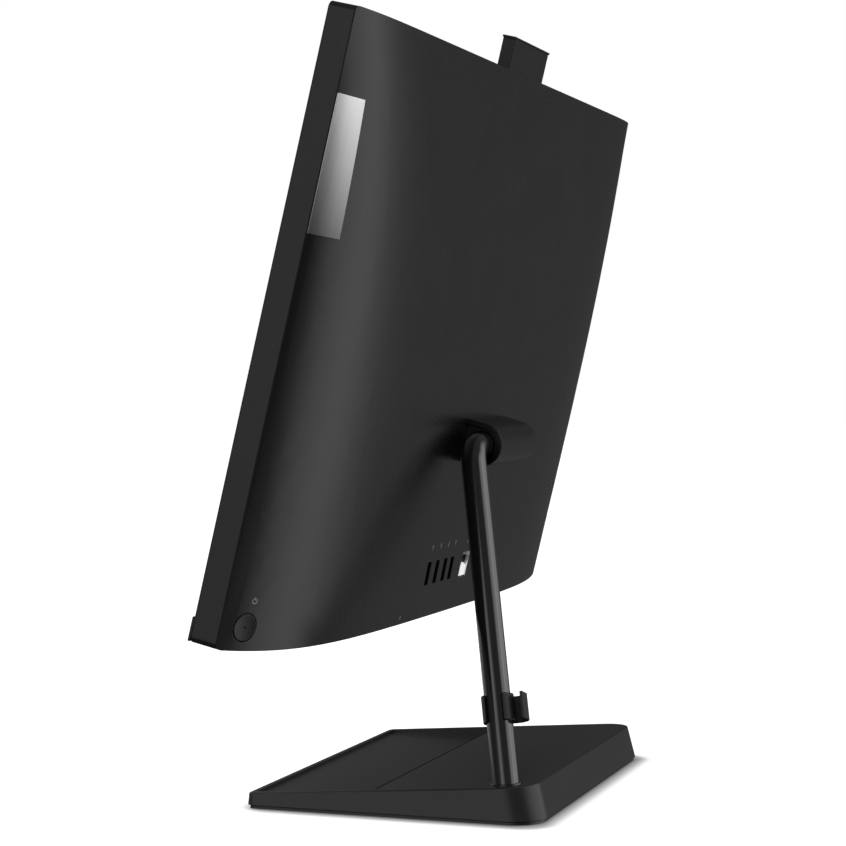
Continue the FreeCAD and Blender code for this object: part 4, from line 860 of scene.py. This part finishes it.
def make_tray_gap_painted_shade():
    """Dark line along the upper edge of the pen tray, painted shade of the seam there: a thin dark strip
    lying on the base's slope.
    """
    points = [vertex.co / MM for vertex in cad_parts["base_shell"].data.vertices]
    floor = [point for point in points if abs(point.z - TRAY_FLOOR) < FLOOR_REACH
             and abs(point.x) > TRAY_CORNERS and point.y < 0]
    left, right = min(point.x for point in floor), max(point.x for point in floor)
    back = max(point.y for point in floor)
    tree = BVHTree.FromPolygons(points, faces_of("base_shell"))
    strip = []
    for y in (back + GAP_START, back + GAP_END):
        height = tree.ray_cast(Vector((0, y, 60)), Vector((0, 0, -1)))[0].z
        strip.append((y, height + GAP_LIFT))
    # the strip is painted shade of the seam, laid on the slope
    form = Form()
    upper = [form.mesh.verts.new((x, y, z)) for x in (left, right) for y, z in strip]
    lower = [form.mesh.verts.new(corner.co - Vector((0, 0, GAP_THICK))) for corner in upper]
    round_edge = (0, 1, 3, 2)
    form.mesh.faces.new([upper[index] for index in round_edge])
    form.mesh.faces.new([lower[index] for index in reversed(round_edge)])
    for first, second in zip(round_edge, round_edge[1:] + round_edge[:1]):
        form.mesh.faces.new((upper[first], lower[first], lower[second], upper[second]))
    form.finish("tray_gap_painted_shade", "stand", "foot_rubber", "gap", matrix=Matrix.Scale(MM, 4))


def make_screw_cross_shades():
    """Painted shade in the cross recesses in the heads of the screws under the base: thin dark bars on the
    heads.
    """
    form = Form()
    points = [(vertex.co / MM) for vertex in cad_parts["base_screws"].data.vertices]
    bottom = min(point.z for point in points)
    heads = [point for point in points if point.z < bottom + 0.5]
    for x_low, x_high in runs([point.x for point in heads], 5.0):
        column = [point.y for point in heads if x_low - 0.1 <= point.x <= x_high + 0.1]
        for y_low, y_high in runs(column, 8.0):
            x, y = (x_low + x_high) / 2, (y_low + y_high) / 2
            # painted shade: dark bars standing for the shade inside each cross recess
            form.bar((x - 1.7, y - 0.35, bottom - 0.04), (x + 1.7, y + 0.35, bottom + 0.02), 0.02)
            form.bar((x - 0.35, y - 1.7, bottom - 0.04), (x + 0.35, y + 1.7, bottom + 0.02), 0.02)
    form.finish("screw_cross_shades", "stand", "dark_steel", "rubber", matrix=Matrix.Scale(MM, 4))


# ------------------------------------------------------------------ studio

# each glow of the surroundings, seen only by reflections and bounced light:
# (bearing, pitch, angle where it ends, angle where it is full, strength, flattening)
WORLD_GLOW = [
    (0, 90, 180, 0, 0.11, 1.0),
    (170, -12, 24, 6, 0.04, 1.0),
    (125, 2, 33, 6, 0.95, 0.5),
    (92, 24, 28, 8, 1.0, 1.0),
    (-12, 0, 34, 8, 0.6, 0.8),
    (-14, 30, 15, 5, 0.3, 1.0),
    (-118, 8, 42, 14, 0.3, 1.0),
    (0, -90, 95, 60, 0.08, 1.0),
]
# the shade round the base: how dark, how far in it starts and how far out it reaches, in metres
CONTACT_SHADE, CONTACT_INSET, CONTACT_REACH = 0.15, 0.012, 0.013
# each softbox: (name, place, target, width, height, power)
SOFTBOXES = [
    ("key", (-1.7, 1.3, 1.5), (0, 0, 0.2), 0.8, 0.8, 0.6),
    ("above", (0.9, -0.5, 1.7), (0, 0, 0.05), 2.4, 2.4, 62),
]


def make_glow(nodes, links, direction, bearing, pitch, wide, full, strength, flattening):
    """The strength of one glow in the direction looked in."""
    around, up = math.radians(bearing), math.radians(pitch)
    axis = Vector((math.cos(around) * math.cos(up), math.sin(around) * math.cos(up), math.sin(up)))
    flat = nodes.new("ShaderNodeVectorMath")
    flat.operation = "MULTIPLY"
    flat.inputs[1].default_value = (1, 1, flattening)
    links.new(direction, flat.inputs[0])
    unit = nodes.new("ShaderNodeVectorMath")
    unit.operation = "NORMALIZE"
    links.new(flat.outputs["Vector"], unit.inputs[0])
    dot = nodes.new("ShaderNodeVectorMath")
    dot.operation = "DOT_PRODUCT"
    dot.inputs[1].default_value = axis
    links.new(unit.outputs["Vector"], dot.inputs[0])
    glow = nodes.new("ShaderNodeMapRange")
    glow.interpolation_type = "SMOOTHSTEP"
    glow.inputs["From Min"].default_value = math.cos(math.radians(wide))
    glow.inputs["From Max"].default_value = math.cos(math.radians(full))
    glow.inputs["To Min"].default_value = 0.0
    glow.inputs["To Max"].default_value = strength
    links.new(dot.outputs["Value"], glow.inputs["Value"])
    return glow.outputs[0]


def make_world():
    """White surroundings for the camera, and the glows for everything else."""
    world = bpy.data.worlds.new("studio")
    scene.world = world
    world.use_nodes = True
    nodes, links = world.node_tree.nodes, world.node_tree.links
    nodes.clear()
    seen = nodes.new("ShaderNodeBackground")
    lighting = nodes.new("ShaderNodeBackground")
    path = nodes.new("ShaderNodeLightPath")
    mix = nodes.new("ShaderNodeMixShader")
    out = nodes.new("ShaderNodeOutputWorld")
    seen.inputs["Color"].default_value = (1, 1, 1, 1)
    lighting.inputs["Color"].default_value = (1, 1, 1, 1)
    direction = nodes.new("ShaderNodeTexCoord").outputs["Generated"]
    first, *others = [make_glow(nodes, links, direction, *glow) for glow in WORLD_GLOW]
    total = first
    for glow in others:
        more = nodes.new("ShaderNodeMath")
        more.operation = "ADD"
        links.new(total, more.inputs[0])
        links.new(glow, more.inputs[1])
        total = more.outputs[0]
    links.new(total, lighting.inputs["Strength"])
    links.new(path.outputs["Is Camera Ray"], mix.inputs[0])
    links.new(lighting.outputs[0], mix.inputs[1])
    links.new(seen.outputs[0], mix.inputs[2])
    links.new(mix.outputs[0], out.inputs["Surface"])


def make_floor():
    """White floor, shaded in its material round the base; only the camera sees it."""
    mesh = bpy.data.meshes.new("floor")
    form = bmesh.new()
    bmesh.ops.create_circle(form, cap_ends=True, segments=96, radius=9.0)
    form.to_mesh(mesh)
    form.free()
    floor = bpy.data.objects.new("floor", mesh)
    scene.collection.objects.link(floor)
    look = Look("floor_paper", Base_Color=(0.3, 0.3, 0.3, 1), Roughness=0.9, Specular_IOR_Level=0.0,
                Emission_Color=(1, 1, 1, 1))
    low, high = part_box("base_sole")
    middle, half = (Vector(low) + Vector(high)) / 2, (Vector(high) - Vector(low)) / 2

    def vector(operation, first, *second):
        """The outcome of a vector sum on the floor."""
        inputs = dict(enumerate((first, *second)))
        return look.node("ShaderNodeVectorMath", inputs, operation=operation).outputs[0]

    apart = vector("ABSOLUTE", vector("SUBTRACT", look.place, (middle.x, middle.y, 0)))
    beyond = vector("SUBTRACT", apart, (half.x - CONTACT_INSET, half.y - CONTACT_INSET, 0))
    outside = vector("MAXIMUM", beyond, (0, 0, 0))
    away = look.node("ShaderNodeVectorMath", {0: outside}, operation="LENGTH").outputs["Value"]
    shade = look.span(away, CONTACT_SHADE, 1.0, CONTACT_INSET, CONTACT_INSET + CONTACT_REACH, soft=True)
    look.links.new(shade, look.shader.inputs["Emission Strength"])
    mesh.materials.append(look.material)
    for rays in ("glossy", "diffuse", "shadow"):
        setattr(floor, "visible_" + rays, False)


def make_studio():
    """Surroundings, floor, and lamps that don't show in reflections."""
    make_world()
    make_floor()
    for lamp in SOFTBOXES:
        softbox(*lamp).visible_glossy = False


make_camera()
make_studio()
looks = make_looks()
finish_frame()
make_signs()
make_jack()
make_port_insides()
make_meshes()
make_screen_frame()
make_camera_details()
make_tray_gap_painted_shade()
make_screw_cross_shades()
